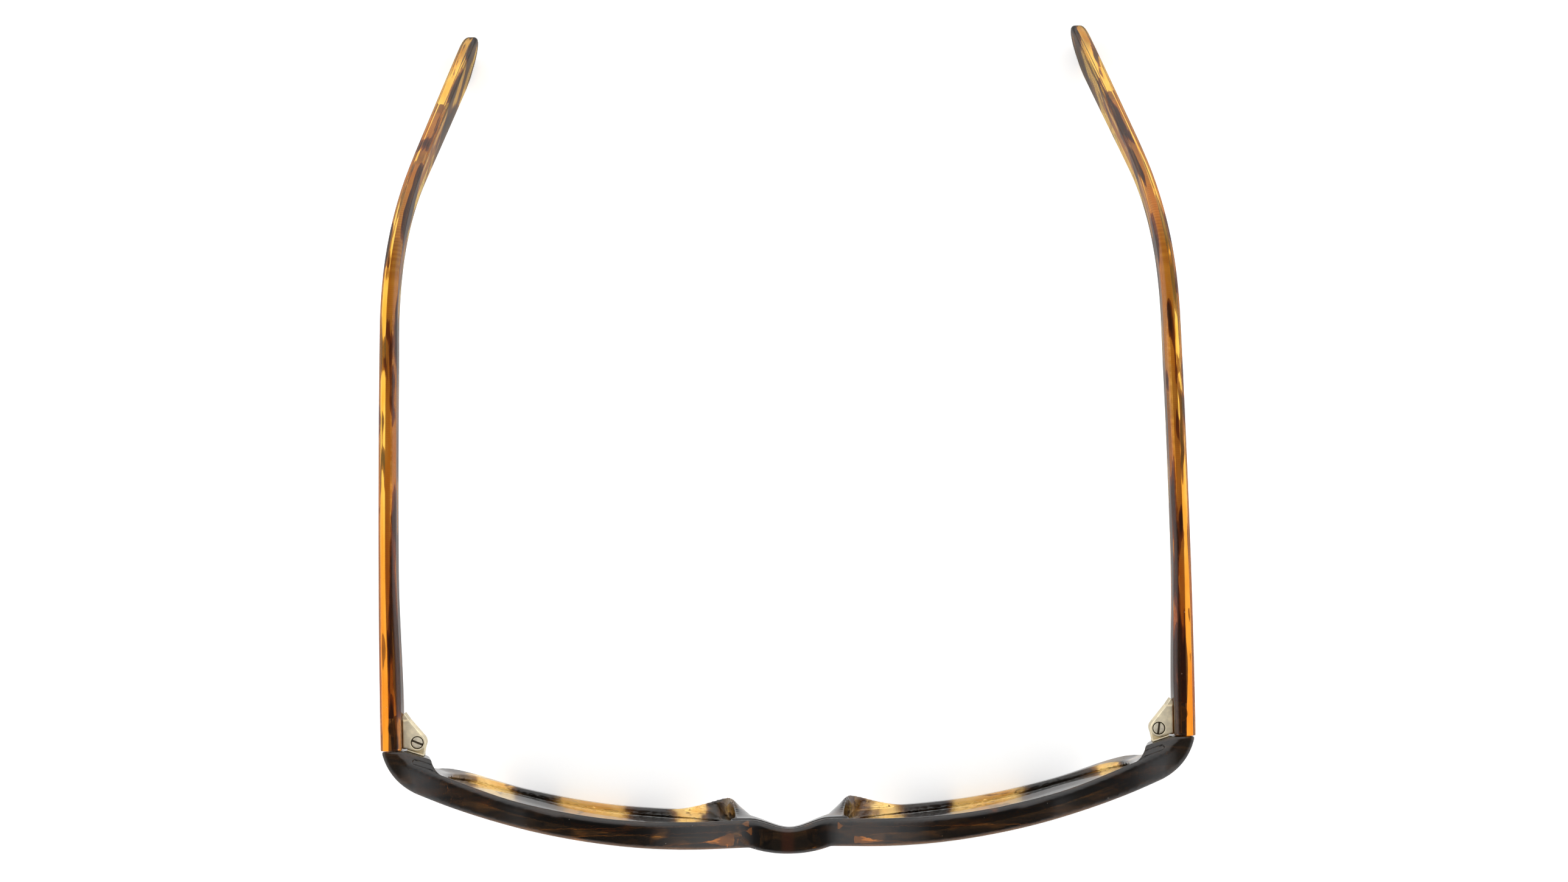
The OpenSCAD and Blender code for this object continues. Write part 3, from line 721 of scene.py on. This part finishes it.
def front_hinge_mesh(step):
    origin, (X, Y, Z) = grid((-3.2, -5.2, -3.7), (2.9, 1.8, 3.7), step)
    # seat axes: along and out of the sloping seat
    cos, sin = math.cos(SEAT_ANGLE), math.sin(SEAT_ANGLE)
    along, out = X * cos + (Y + 2.067) * sin, -X * sin + (Y + 2.067) * cos
    seat = (along, out, Z)
    plan = knuckle_plan([-1.05, -2.3], [1.3, -1.5], [1.45, -1.36], X[:, :, 0], Y[:, :, 0])
    field = box(seat, (-1.1, 1.95), (FIT, 0.3), (-BARREL_HEIGHT / 2, BARREL_HEIGHT / 2), 0.07)
    for i in (1, 3):
        field = np.minimum(field, knuckle(plan, Z, i, 0.12))
    # foot sunk in the front: neck, block and round disc
    field = np.minimum(field, box(seat, (-0.9, 0.9), (-0.9, 0.15), (-1.6, 1.6)))
    field = np.minimum(field, box(seat, (-2.3, 1.9), (-1.7, -0.8), (-2.4, 2.4)))
    disc = np.maximum(np.hypot(along + 0.2, out + 0.9) - 1.9, out + 1)
    field = np.minimum(field, prism(disc, Z, -0.9, 0.9, 0.15))
    field = np.maximum(field, -(np.hypot(X, Y) - SCREW_RADIUS - BORE_GAP))
    return surface(field, origin, step)


def screw_mesh(step, slot_degrees):
    origin, (X, Y, Z) = grid((-1.25, -1.25, -3.6), (1.25, 1.25, 3.6), step)
    radius = np.hypot(X, Y)
    top = BARREL_TOP - 0.03
    bottom = knuckle_z(4)
    shank = np.abs(Z - (top + bottom + 0.05) / 2 + 0.15) - (top - 0.3 - bottom - 0.05) / 2
    field = round_and(radius - SCREW_RADIUS, shank, 0.08)
    crown = top - 0.07 * radius * radius
    head = np.maximum(Z - crown, top - 0.45 - Z)
    field = np.minimum(field, round_and(radius - HEAD_RADIUS + 0.02, head, 0.15))
    a = math.radians(slot_degrees)
    across = np.abs(-X * math.sin(a) + Y * math.cos(a)) - 0.18
    field = round_and(field, -np.maximum(across, top - 0.36 - Z), 0.05)
    return surface(field, origin, step)


def at_pin(mesh, mirror):
    verts, faces = mesh
    return (verts + [PIN_X, PIN_Y, HINGE_Z]) * [mirror, 1, 1], faces


# ------------------------------------------------------------------ material helpers
class Value:
    """A node's output; arithmetic on it adds maths nodes."""

    def __init__(self, shader, socket):
        self.shader = shader
        self.socket = socket

    def __add__(self, other):
        return self.shader.maths("ADD", self, other)

    def __sub__(self, other):
        return self.shader.maths("SUBTRACT", self, other)

    def __rsub__(self, other):
        return self.shader.maths("SUBTRACT", other, self)

    def __mul__(self, other):
        return self.shader.maths("MULTIPLY", self, other)

    def __abs__(self):
        return self.shader.maths("ABSOLUTE", self)

    def remap(self, source, to=(0.0, 1.0), smooth=True):
        """Map the source range, which may run downward, to another."""
        node = self.shader.add("ShaderNodeMapRange")
        node.interpolation_type = "SMOOTHSTEP" if smooth else "LINEAR"
        for i, value in enumerate((self, *source, *to)):
            self.shader.put(node.inputs[i], value)
        return Value(self.shader, node.outputs[0])


class Shader:
    """A material with one Principled shader."""

    def __init__(self, name):
        self.mat = bpy.data.materials.new(name)
        self.mat.use_nodes = True
        self.tree = self.mat.node_tree
        self.tree.nodes.clear()
        self.out = self.add("ShaderNodeOutputMaterial")
        self.bsdf = self.add("ShaderNodeBsdfPrincipled")
        self.tree.links.new(self.bsdf.outputs[0], self.out.inputs["Surface"])

    def add(self, kind, **settings):
        node = self.tree.nodes.new(kind)
        for key, value in settings.items():
            setattr(node, key, value)
        return node

    def put(self, socket, value):
        if isinstance(value, Value):
            self.tree.links.new(value.socket, socket)
        else:
            socket.default_value = value

    def set(self, **inputs):
        for key, value in inputs.items():
            self.put(self.bsdf.inputs[key.replace("_", " ")], value)

    def maths(self, operation, *operands):
        """Maths node; a vector one if an operand is a tuple or a vector."""
        vector = any(isinstance(v, tuple) or isinstance(v, Value) and v.socket.type == "VECTOR"
                     for v in operands)
        node = self.add("ShaderNodeVectorMath" if vector else "ShaderNodeMath",
                        operation=operation)
        for i, value in enumerate(operands):
            self.put(node.inputs[i], value)
        return Value(self, node.outputs[0])

    def mix(self, factor, a, b):
        node = self.add("ShaderNodeMix", data_type="RGBA")
        self.put(node.inputs["Factor"], factor)
        self.put(node.inputs[6], a)
        self.put(node.inputs[7], b)
        return Value(self, node.outputs[2])

    def noise(self, at, scale=1.0, detail=3.0, roughness=0.5, distortion=0.0, output=0):
        """Noise texture; output 0 is its value and 1 its colour."""
        node = self.add("ShaderNodeTexNoise")
        self.put(node.inputs["Vector"], at)
        node.inputs["Scale"].default_value = scale
        node.inputs["Detail"].default_value = detail
        node.inputs["Roughness"].default_value = roughness
        node.inputs["Distortion"].default_value = distortion
        return Value(self, node.outputs[output])

    def warp(self, at, scale, reach):
        """Offset vector that wanders by up to about half of reach."""
        return (self.noise(at, scale=scale, detail=2, output=1) - (0.5, 0.5, 0.5)) * reach

    def coords(self, shift=(0, 0, 0)):
        """Object coordinates in mm."""
        node = self.add("ShaderNodeTexCoord")
        return Value(self, node.outputs["Object"]) * (1000, 1000, 1000) + shift

    def split(self, vector):
        node = self.add("ShaderNodeSeparateXYZ")
        self.put(node.inputs[0], vector)
        return [Value(self, output) for output in node.outputs]

    def bump(self, height, strength, distance, normal=None):
        node = self.add("ShaderNodeBump")
        self.put(node.inputs["Height"], height)
        node.inputs["Strength"].default_value = strength
        node.inputs["Distance"].default_value = distance
        if normal:
            self.put(node.inputs["Normal"], normal)
        return Value(self, node.outputs[0])


def fill_ramp(ramp, stops):
    """Colour ramp stops: position, level of red and green, level of blue."""
    elements = ramp.elements
    ends = ((elements[0], stops[0]), (elements[1], stops[-1]))
    for element, (position, level, blue) in ends:
        element.position = position
        element.color = (level, level, blue, 1)
    for position, level, blue in stops[1:-1]:
        elements.new(position).color = (level, level, blue, 1)


def rgb(*channels):
    """sRGB 0-255 to linear."""
    scaled = [c / 255 for c in channels]
    return tuple(c / 12.92 if c <= 0.04045 else ((c + 0.055) / 1.055) ** 2.4
                 for c in scaled) + (1.0,)


# ------------------------------------------------------------------ acetate
def dusted(shader, pos, colour):
    """Pale specks of dust on the polish: the colour with them, and their mask."""
    cells = shader.add("ShaderNodeTexVoronoi", feature="F1")
    shader.put(cells.inputs["Vector"], pos)
    cells.inputs["Scale"].default_value = 0.55
    spots = Value(shader, cells.outputs["Distance"]).remap((0.07, 0.035))
    dust = spots * shader.noise(pos, scale=0.5, detail=1).remap((0.55, 0.6))
    return shader.mix(dust * 0.45, colour, rgb(214, 208, 196)), dust


def polish(shader, pos, colour, dark, absorbed, specular):
    """Dust, gloss, clear body and absorption; returns the faintly rippled normal."""
    colour, dust = dusted(shader, pos, colour)
    clear = 0.95 - dark * 0.16
    rough = shader.noise(pos, scale=0.9, detail=4, roughness=0.6)
    rough = rough.remap((0.35, 0.7), to=(0.02, 0.06))
    shader.set(Base_Color=colour, Roughness=rough + dust * 0.3, IOR=1.49,
               Transmission_Weight=clear, Specular_IOR_Level=specular)
    ripple = (shader.noise(pos, scale=0.22, detail=2)
              + shader.noise(pos, scale=3.2, roughness=0.6) * 0.05)
    volume = shader.add("ShaderNodeVolumeAbsorption")
    volume.inputs["Color"].default_value = absorbed
    volume.inputs["Density"].default_value = 75.0
    shader.tree.links.new(volume.outputs[0], shader.out.inputs["Volume"])
    return shader.bump(ripple, strength=0.12, distance=0.00012)


# x and darkness along the lower rims: soft honey and dark fields side by side
LOWER_FIELDS = (
    (-70, 1), (-58, 0.9), (-55, 0.12), (-50, 0.1), (-46.5, 1), (-43, 1), (-39.5, 0.1),
    (-30, 0.05), (-26, 0.9), (-21.5, 1), (-19, 0.1), (-16, 0.1), (-13.8, 1), (-8, 1), (8, 1),
    (13.2, 0.75), (16, 0.1), (19, 0.15), (22, 0.9), (27, 0.95), (30, 0.1), (40, 0.05), (44, 1),
    (52, 0.95), (55.5, 0.1), (60, 0.15), (62, 0.8), (70, 1))
# orange shards: x of the thin end, x of the blunt end, y, half width, slope
SHARDS = ((-15.1, -9.5, -69.05, 0.95, 0.05), (-8.4, -7.0, -66.25, 0.42, 0.0),
          (-7.6, -6.5, -67.5, 0.7, 0.0), (16.1, 10.9, -69.35, 0.6, -0.04),
          (9.3, 8.2, -66.9, 0.5, 0.0))


def front_darkness(shader, pos, warped, x, z):
    """Darkness of the front: clouds above, side-by-side fields along the lower rims."""
    big = shader.noise(warped * (0.075, 0.13, 0.11), detail=2)
    streak = shader.noise(warped * (0.13, 0.85, 0.7), roughness=0.55, distortion=0.3)
    cloud = big * 0.80 + streak * 0.20
    cloud = (cloud + z.remap((9.0, 31.0), to=(-0.01, 0.17))).remap((0.465, 0.57))
    ramp = shader.add("ShaderNodeValToRGB")
    ramp.color_ramp.interpolation = "EASE"
    wavy_x = x + (shader.noise(pos, scale=0.22, detail=2) - 0.5) * 7.0
    shader.put(ramp.inputs[0], wavy_x.remap((-HALF_WIDTH, HALF_WIDTH), smooth=False))
    fill_ramp(ramp.color_ramp, [((at + HALF_WIDTH) / FRONT_WIDTH, level, level)
                                for at, level in LOWER_FIELDS])
    # the product takes the ramp's colour as a number
    fields = shader.maths("MAXIMUM", Value(shader, ramp.outputs[0]) * 1.0,
                          streak.remap((0.56, 0.72), to=(0.0, 0.55)))
    low = z.remap((9.0, 15.0), to=(1.0, 0.0))
    return fields * low + cloud * (1.0 - low)


def with_shards(shader, pos, colour, x, y, top):
    """A few crisp orange shards, thin at one end and blunt at the other."""
    ragged = (shader.noise(pos, scale=1.1, detail=2, roughness=0.6) - 0.5) * 1.4
    for thin_x, blunt_x, centre_y, width, slope in SHARDS:
        along = x.remap((thin_x, blunt_x), smooth=False)
        half = along.remap((0.0, 0.85), to=(0.02, width)) * along.remap((1.0, 0.96))
        off = abs((y + ragged * 0.45) - ((x - (thin_x + blunt_x) / 2) * slope + centre_y))
        mask = (off - half).remap((0.06, -0.06)) * half.remap((0.0, 0.04))
        colour = shader.mix(mask * top * 0.9, colour, rgb(206, 126, 46))
    return colour


def foot_outline(shader, ax, y, z):
    """Mask of the oval line left by the hinge foot in the top of each end piece."""
    # centre from the pin, half length of the straight part, end radius
    centre_x, centre_y, straight, radius = PIN_X - 1.4, PIN_Y - 3.79, 1.85, 0.42
    dx = ax - centre_x
    dy = y - centre_y
    cos, sin = math.cos(SEAT_ANGLE), math.sin(SEAT_ANGLE)
    along = dx * cos + dy * sin
    across = dy * cos - dx * sin
    beyond = shader.maths("MAXIMUM", abs(along) - straight, 0.0)
    oval = shader.maths("SQRT", beyond * beyond + across * across) - radius
    return abs(oval).remap((0.15, 0.0)) * z.remap((HINGE_Z + 3, HINGE_Z + 3.5))


def acetate_front(name, seed):
    """Polished dark tortoiseshell acetate: near black on top, honey in the lower rims."""
    shader = Shader(name)
    pos = shader.coords(shift=(seed, seed * 0.7, seed * 0.3))
    x, y, z = shader.split(shader.coords())
    ax = abs(x)
    # distance behind the front face
    bow = shader.maths("MAXIMUM", ax - FACE_FLAT, 0.0)
    arc = shader.maths("SQRT", FACE_RADIUS ** 2 - bow * bow)
    behind = (y + arc) - (PIN_Y - PIN_DEPTH + BRIDGE_SWELL + FACE_RADIUS)
    warped = pos + shader.warp(pos, scale=0.13, reach=(10, 3, 5))
    dark = front_darkness(shader, pos, warped, x, z)

    honey = shader.mix(z.remap((6, 30)), rgb(255, 222, 146), rgb(226, 156, 70))
    amber = shader.mix(z.remap((6, 30)), rgb(240, 186, 98), rgb(160, 92, 34))
    hazy = shader.noise(pos * (0.16, 0.3, 0.3), detail=2, distortion=0.2)
    colour = shader.mix(hazy.remap((0.40, 0.64)), honey, amber)
    colour = shader.mix(dark.remap((0.0, 0.62)), colour, rgb(86, 52, 22))
    colour = shader.mix(dark.remap((0.5, 1.0)), colour, rgb(24, 18, 12))
    # brown haze drawn out along the top
    haze = shader.noise(warped * (0.055, 0.5, 0.4), roughness=0.55, distortion=0.2)
    top = z.remap((31.0, 36.0))
    colour = shader.mix(haze.remap((0.46, 0.66)) * top * 0.75, colour, rgb(84, 56, 28))
    # reddish band across the middle of the bridge
    middle = abs(x + 0.4).remap((1.5, 0.5)) * 0.6
    colour = shader.mix(middle * top, colour, rgb(84, 40, 24))
    # golden line along the front edge of the top
    edge = behind.remap((0.55, 0.05)) * ax.remap((62.0, 48.0))
    edge = edge * ax.remap((7.0, 9.0)) * top
    colour = shader.mix(edge * 0.55, colour, rgb(180, 116, 44))
    colour = with_shards(shader, pos, colour, x, y, top)

    normal = polish(shader, pos, colour, dark, absorbed=(1.0, 0.84, 0.5, 1), specular=0.72)
    line = foot_outline(shader, ax, y, z)
    shader.set(Normal=shader.bump(line * -1.0, strength=1.0, distance=0.00014, normal=normal))
    return shader.mat


def temple_inward(shader, t):
    """The temple's inward() curve as nodes."""
    early = shader.maths("MINIMUM", shader.maths("MAXIMUM", t, 0.0), TURN_START)
    turn = shader.maths("MINIMUM", shader.maths("MAXIMUM", t - TURN_START, 0.0), TURN_LENGTH)
    late = shader.maths("MAXIMUM", t - (TURN_START + TURN_LENGTH), 0.0)
    return early * early * BOW + (
        turn * TURN_SLOPE + (turn * turn * (TURN_RATE / 2) + late * TIP_SLOPE))


def acetate_temple(name, seed):
    """Polished golden acetate with long, crisp, pointed dark brown patches in layers."""
    shader = Shader(name)
    pos = shader.coords(shift=(seed, seed * 0.7, seed * 0.3))
    x, y, z = shader.split(shader.coords())
    ax = abs(x)
    y = y - PIN_Y
    z = z - HINGE_Z
    # distance inward of the outer face, following the temple's bends
    t = y * math.cos(LEAN) - z * math.sin(LEAN)
    side = HALF_WIDTH - temple_inward(shader, t) - ax
    combine = shader.add("ShaderNodeCombineXYZ")
    shader.put(combine.inputs[0], side + seed)
    shader.put(combine.inputs[1], y + seed * 3.0)
    shader.put(combine.inputs[2], z + seed * 0.5)
    layers = Value(shader, combine.outputs[0])

    warped = layers + shader.warp(layers, scale=0.1, reach=(1.2, 12, 3))
    patch = shader.noise(warped * (0.72, 0.062, 0.15), detail=1)
    fine = shader.noise(warped * (2.2, 0.10, 0.7), detail=2)
    level = patch * 0.84 + fine * 0.16
    # near the hinge and at the tip the inner layers are darker than the outer ones
    near = t.remap((16, 44), to=(1.0, 0.0))
    tip = t.remap((66, 94))
    level = level + (side.remap((1.0, 1.6), to=(-0.14, 0.11)) * near
                     + side.remap((1.4, 2.1), to=(-0.05, 0.065)) * tip)
    dark = level.remap((0.530, 0.544))
    deep = level.remap((0.540, 0.605))
    soft = level.remap((0.485, 0.545))

    along = t.remap((4, 60))
    honey = shader.mix(along, rgb(247, 172, 62), rgb(255, 222, 116))
    amber = shader.mix(along, rgb(236, 142, 42), rgb(250, 192, 76))
    hazy = shader.noise(layers * (0.9, 0.09, 0.3), detail=2)
    colour = shader.mix(hazy.remap((0.40, 0.64)), honey, amber)
    colour = shader.mix(soft * 0.35, colour, rgb(206, 120, 40))
    colour = shader.mix(dark, colour, rgb(112, 60, 24))
    colour = shader.mix(deep, colour, rgb(38, 23, 13))
    shader.set(Normal=polish(shader, pos, colour, dark, absorbed=(1.0, 0.80, 0.36, 1),
                             specular=0.42))
    return shader.mat


# ------------------------------------------------------------------ other materials
def lens_material():
    """Clear resin with faint smears."""
    shader = Shader("demo lens resin")
    smear = shader.noise(shader.coords() * (0.12, 0.12, 0.05), detail=4, roughness=0.6,
                         distortion=0.8)
    tint = shader.mix(smear.remap((0.35, 0.7)), (0.955, 0.985, 0.975, 1), (0.93, 0.955, 0.945, 1))
    shader.set(Base_Color=tint, Roughness=smear.remap((0.4, 0.75), to=(0.0, 0.03)),
               IOR=1.5, Transmission_Weight=1.0)
    return shader.mat


def metal(name, tint, roughness, grain, recess_shade_z):
    """Satin metal with painted shade: darkened round the hinge pin, in the head recess and the
    screw slot, below the given shade height above the hinge's middle.
    """
    recess_shade_radius = 1.2
    shader = Shader(name)
    pos = shader.coords()
    streak = shader.noise(pos * grain, detail=4, roughness=0.6)
    blotch = shader.noise(pos, scale=0.8)
    shade = tuple(c * 0.80 for c in tint[:3]) + (1,)
    colour = shader.mix(blotch.remap((0.35, 0.68)), shade, tint)
    x, y, z = shader.split(pos)
    dx = abs(x) - PIN_X
    dy = y - PIN_Y
    radius = shader.maths("SQRT", dx * dx + dy * dy)
    z = z - HINGE_Z
    # painted shade: dark brown mixed into the metal in the recess round the screw head and in the
    # slot, where shade falls
    recess_shade = (z.remap((recess_shade_z, recess_shade_z - 0.08))
             * radius.remap((recess_shade_radius + 0.05, recess_shade_radius)))
    recess_shade = recess_shade * z.remap((2.2, 2.4))
    colour = shader.mix(recess_shade * 0.9, colour, rgb(58, 44, 28))
    rough = (streak.remap((0.3, 0.7), to=(roughness - 0.07, roughness + 0.09))
             + blotch.remap((0.4, 0.7), to=(0.0, 0.06)))
    shader.set(Base_Color=colour, Metallic=1.0, Roughness=rough,
               Normal=shader.bump(streak, strength=0.12, distance=0.00005))
    return shader.mat


def core_material():
    """Golden wire with a diagonal knurl."""
    pitch = 21.0                            # radians per mm of y + z and of y - z
    shader = Shader("knurled core wire")
    pos = shader.coords()
    _, y, z = shader.split(pos)
    knurl = shader.maths("SINE", (y + z) * pitch) * shader.maths("SINE", (y - z) * pitch)
    colour = shader.mix(knurl.remap((-0.4, 0.6)), rgb(206, 144, 70), rgb(226, 172, 92))
    rough = shader.noise(pos, scale=1.4).remap((0.3, 0.7), to=(0.3, 0.5))
    shader.set(Base_Color=colour, Metallic=0.9, Roughness=rough,
               Normal=shader.bump(knurl, strength=0.2, distance=0.00005))
    return shader.mat


def floor_material():
    """Matt white table that looks darker when mirrored in the polished acetate: a painted shade,
    darker colour and weaker glow for mirror rays only.
    """
    shader = Shader("matt white table")
    pos = shader.coords()
    cloud = shader.noise(pos, scale=0.004)
    grain = shader.noise(pos, scale=1.2, roughness=0.6)
    rays = shader.add("ShaderNodeLightPath").outputs
    # painted reflection shade: glossy rays that have not come through a refraction see the table
    # darker, less so under the front
    painted_reflection_shade = (Value(shader, rays["Is Glossy Ray"])
                * (1.0 - Value(shader, rays["Is Transmission Ray"])))
    y = shader.split(pos)[1]
    painted_reflection_shade = painted_reflection_shade * y.remap((-58.0, -44.0), to=(0.35, 1.0))
    # only for steep rays, so the horizon stays even
    geometry = shader.add("ShaderNodeNewGeometry")
    steep = shader.split(Value(shader, geometry.outputs["Incoming"]))[2]
    painted_reflection_shade = painted_reflection_shade * steep.remap((0.35, 0.85))
    white = shader.mix(cloud.remap((0.3, 0.7)), (0.93, 0.93, 0.925, 1), (0.955, 0.955, 0.95, 1))
    shader.set(Base_Color=shader.mix(painted_reflection_shade * 0.8, white, (0.06, 0.055, 0.05, 1)),
               Roughness=grain.remap((0.3, 0.7), to=(0.75, 0.9)), Specular_IOR_Level=0.2,
               Emission_Color=(1.0, 1.0, 1.0, 1), Emission_Strength=0.30 - painted_reflection_shade * 0.27,
               Normal=shader.bump(grain, strength=0.05, distance=0.0001))
    return shader.mat


# ------------------------------------------------------------------ build
front_step = 0.3
hinge_step = 0.085
front_acetate = acetate_front("tortoise acetate front", seed=13.0)
temple_acetate = {"right": acetate_temple("tortoise acetate temple right", seed=41.0),
                  "left": acetate_temple("tortoise acetate temple left", seed=97.0)}
lens_resin = lens_material()
hinge_metal = metal("champagne hinge", rgb(252, 240, 210), roughness=0.56,
                    grain=(0.6, 6.0, 9.0), recess_shade_z=3.27)
screw_metal = metal("turned hinge screw", rgb(248, 238, 214), roughness=0.46,
                    grain=(5.0, 5.0, 0.8), recess_shade_z=3.15)
core_metal = core_material()

make("front_acetate", front_mesh(front_step), "front", front_acetate,
     ("front_frame", "nose_pad_right", "nose_pad_left"), angle=48)
for mirror, side, screw_slot in ((-1, "right", 23), (1, "left", 82)):
    arm = "temple_arm_" + side
    make("lens_clear_" + side, lens_mesh(mirror), "front", lens_resin,
         ("lens_" + side,), angle=35)
    make("temple_acetate_" + side, temple_mesh(mirror), arm,
         temple_acetate[side], ("temple_" + side,), angle=50)
    make("hinge_leaf_temple_" + side, at_pin(temple_hinge_mesh(hinge_step), mirror), arm,
         hinge_metal, ("temple_hinge_" + side,), angle=40)
    make("hinge_leaf_front_" + side, at_pin(front_hinge_mesh(hinge_step), mirror), "front",
         hinge_metal, ("front_hinge_" + side,), angle=40)
    make("screw_" + side, at_pin(screw_mesh(hinge_step * 0.6, screw_slot), mirror), arm,
         screw_metal, ("hinge_screw_" + side,), angle=40)
    core = nodes["wire_core_" + side]
    core.data.materials.clear()
    core.data.materials.append(core_metal)


# ------------------------------------------------------------------ stage, in metres
def add_table():
    """Square table top, just below z = 0."""
    size, parts, z = 6.0, 24, -0.00005
    row = parts + 1
    verts = [[(i / parts - 0.5) * size, (j / parts - 0.5) * size, z]
             for i in range(row) for j in range(row)]
    faces = []
    for i in range(parts):
        for j in range(parts):
            a = i * row + j
            faces.append([a, a + row, a + row + 1, a + 1])
    mesh = bpy.data.meshes.new("table_top")
    mesh.from_pydata(verts, [], faces)
    table = bpy.data.objects.new("table_top", mesh)
    bpy.context.scene.collection.objects.link(table)
    mesh.materials.append(floor_material())


# upward direction, level of red and green, level of blue: bright sides, dark overhead
SKY = ((0.0, 1.3, 1.3), (0.34, 1.3, 1.3), (0.52, 1.08, 1.0908), (0.78, 0.95, 0.9595),
       (0.88, 0.50, 0.505), (0.94, 0.18, 0.1818), (1.0, 0.08, 0.0808))


def add_world():
    """White tent that lights the scene from all round."""
    world = bpy.data.worlds.new("white tent")
    bpy.context.scene.world = world
    world.use_nodes = True
    tree = world.node_tree
    tree.nodes.clear()
    output = tree.nodes.new("ShaderNodeOutputWorld")
    background = tree.nodes.new("ShaderNodeBackground")
    coords = tree.nodes.new("ShaderNodeTexCoord")
    split = tree.nodes.new("ShaderNodeSeparateXYZ")
    ramp = tree.nodes.new("ShaderNodeValToRGB")
    fill_ramp(ramp.color_ramp, SKY)
    background.inputs["Strength"].default_value = 1.32
    tree.links.new(coords.outputs["Generated"], split.inputs[0])
    tree.links.new(split.outputs[2], ramp.inputs[0])
    tree.links.new(ramp.outputs[0], background.inputs["Color"])
    tree.links.new(background.outputs[0], output.inputs["Surface"])


def add_camera():
    """Long lens straight above, looking down."""
    data = bpy.data.cameras.new("camera")
    camera = bpy.data.objects.new("camera", data)
    bpy.context.scene.collection.objects.link(camera)
    data.sensor_width = 36.0
    data.lens = 155.6
    data.clip_start = 0.01
    data.clip_end = 20.0
    camera.location = (0.0003, -0.00062, 1.2)
    camera.rotation_euler = (0, 0, math.radians(-1.12))
    bpy.context.scene.camera = camera


add_table()
add_world()
add_camera()

scene = bpy.context.scene
scene.view_settings.view_transform = "Standard"
scene.view_settings.look = "None"
scene.cycles.use_denoising = True
scene.cycles.max_bounces = 14
scene.cycles.transmission_bounces = 12
scene.cycles.transparent_max_bounces = 12
scene.cycles.caustics_refractive = True
scene.cycles.caustics_reflective = False
scene.cycles.blur_glossy = 0.5
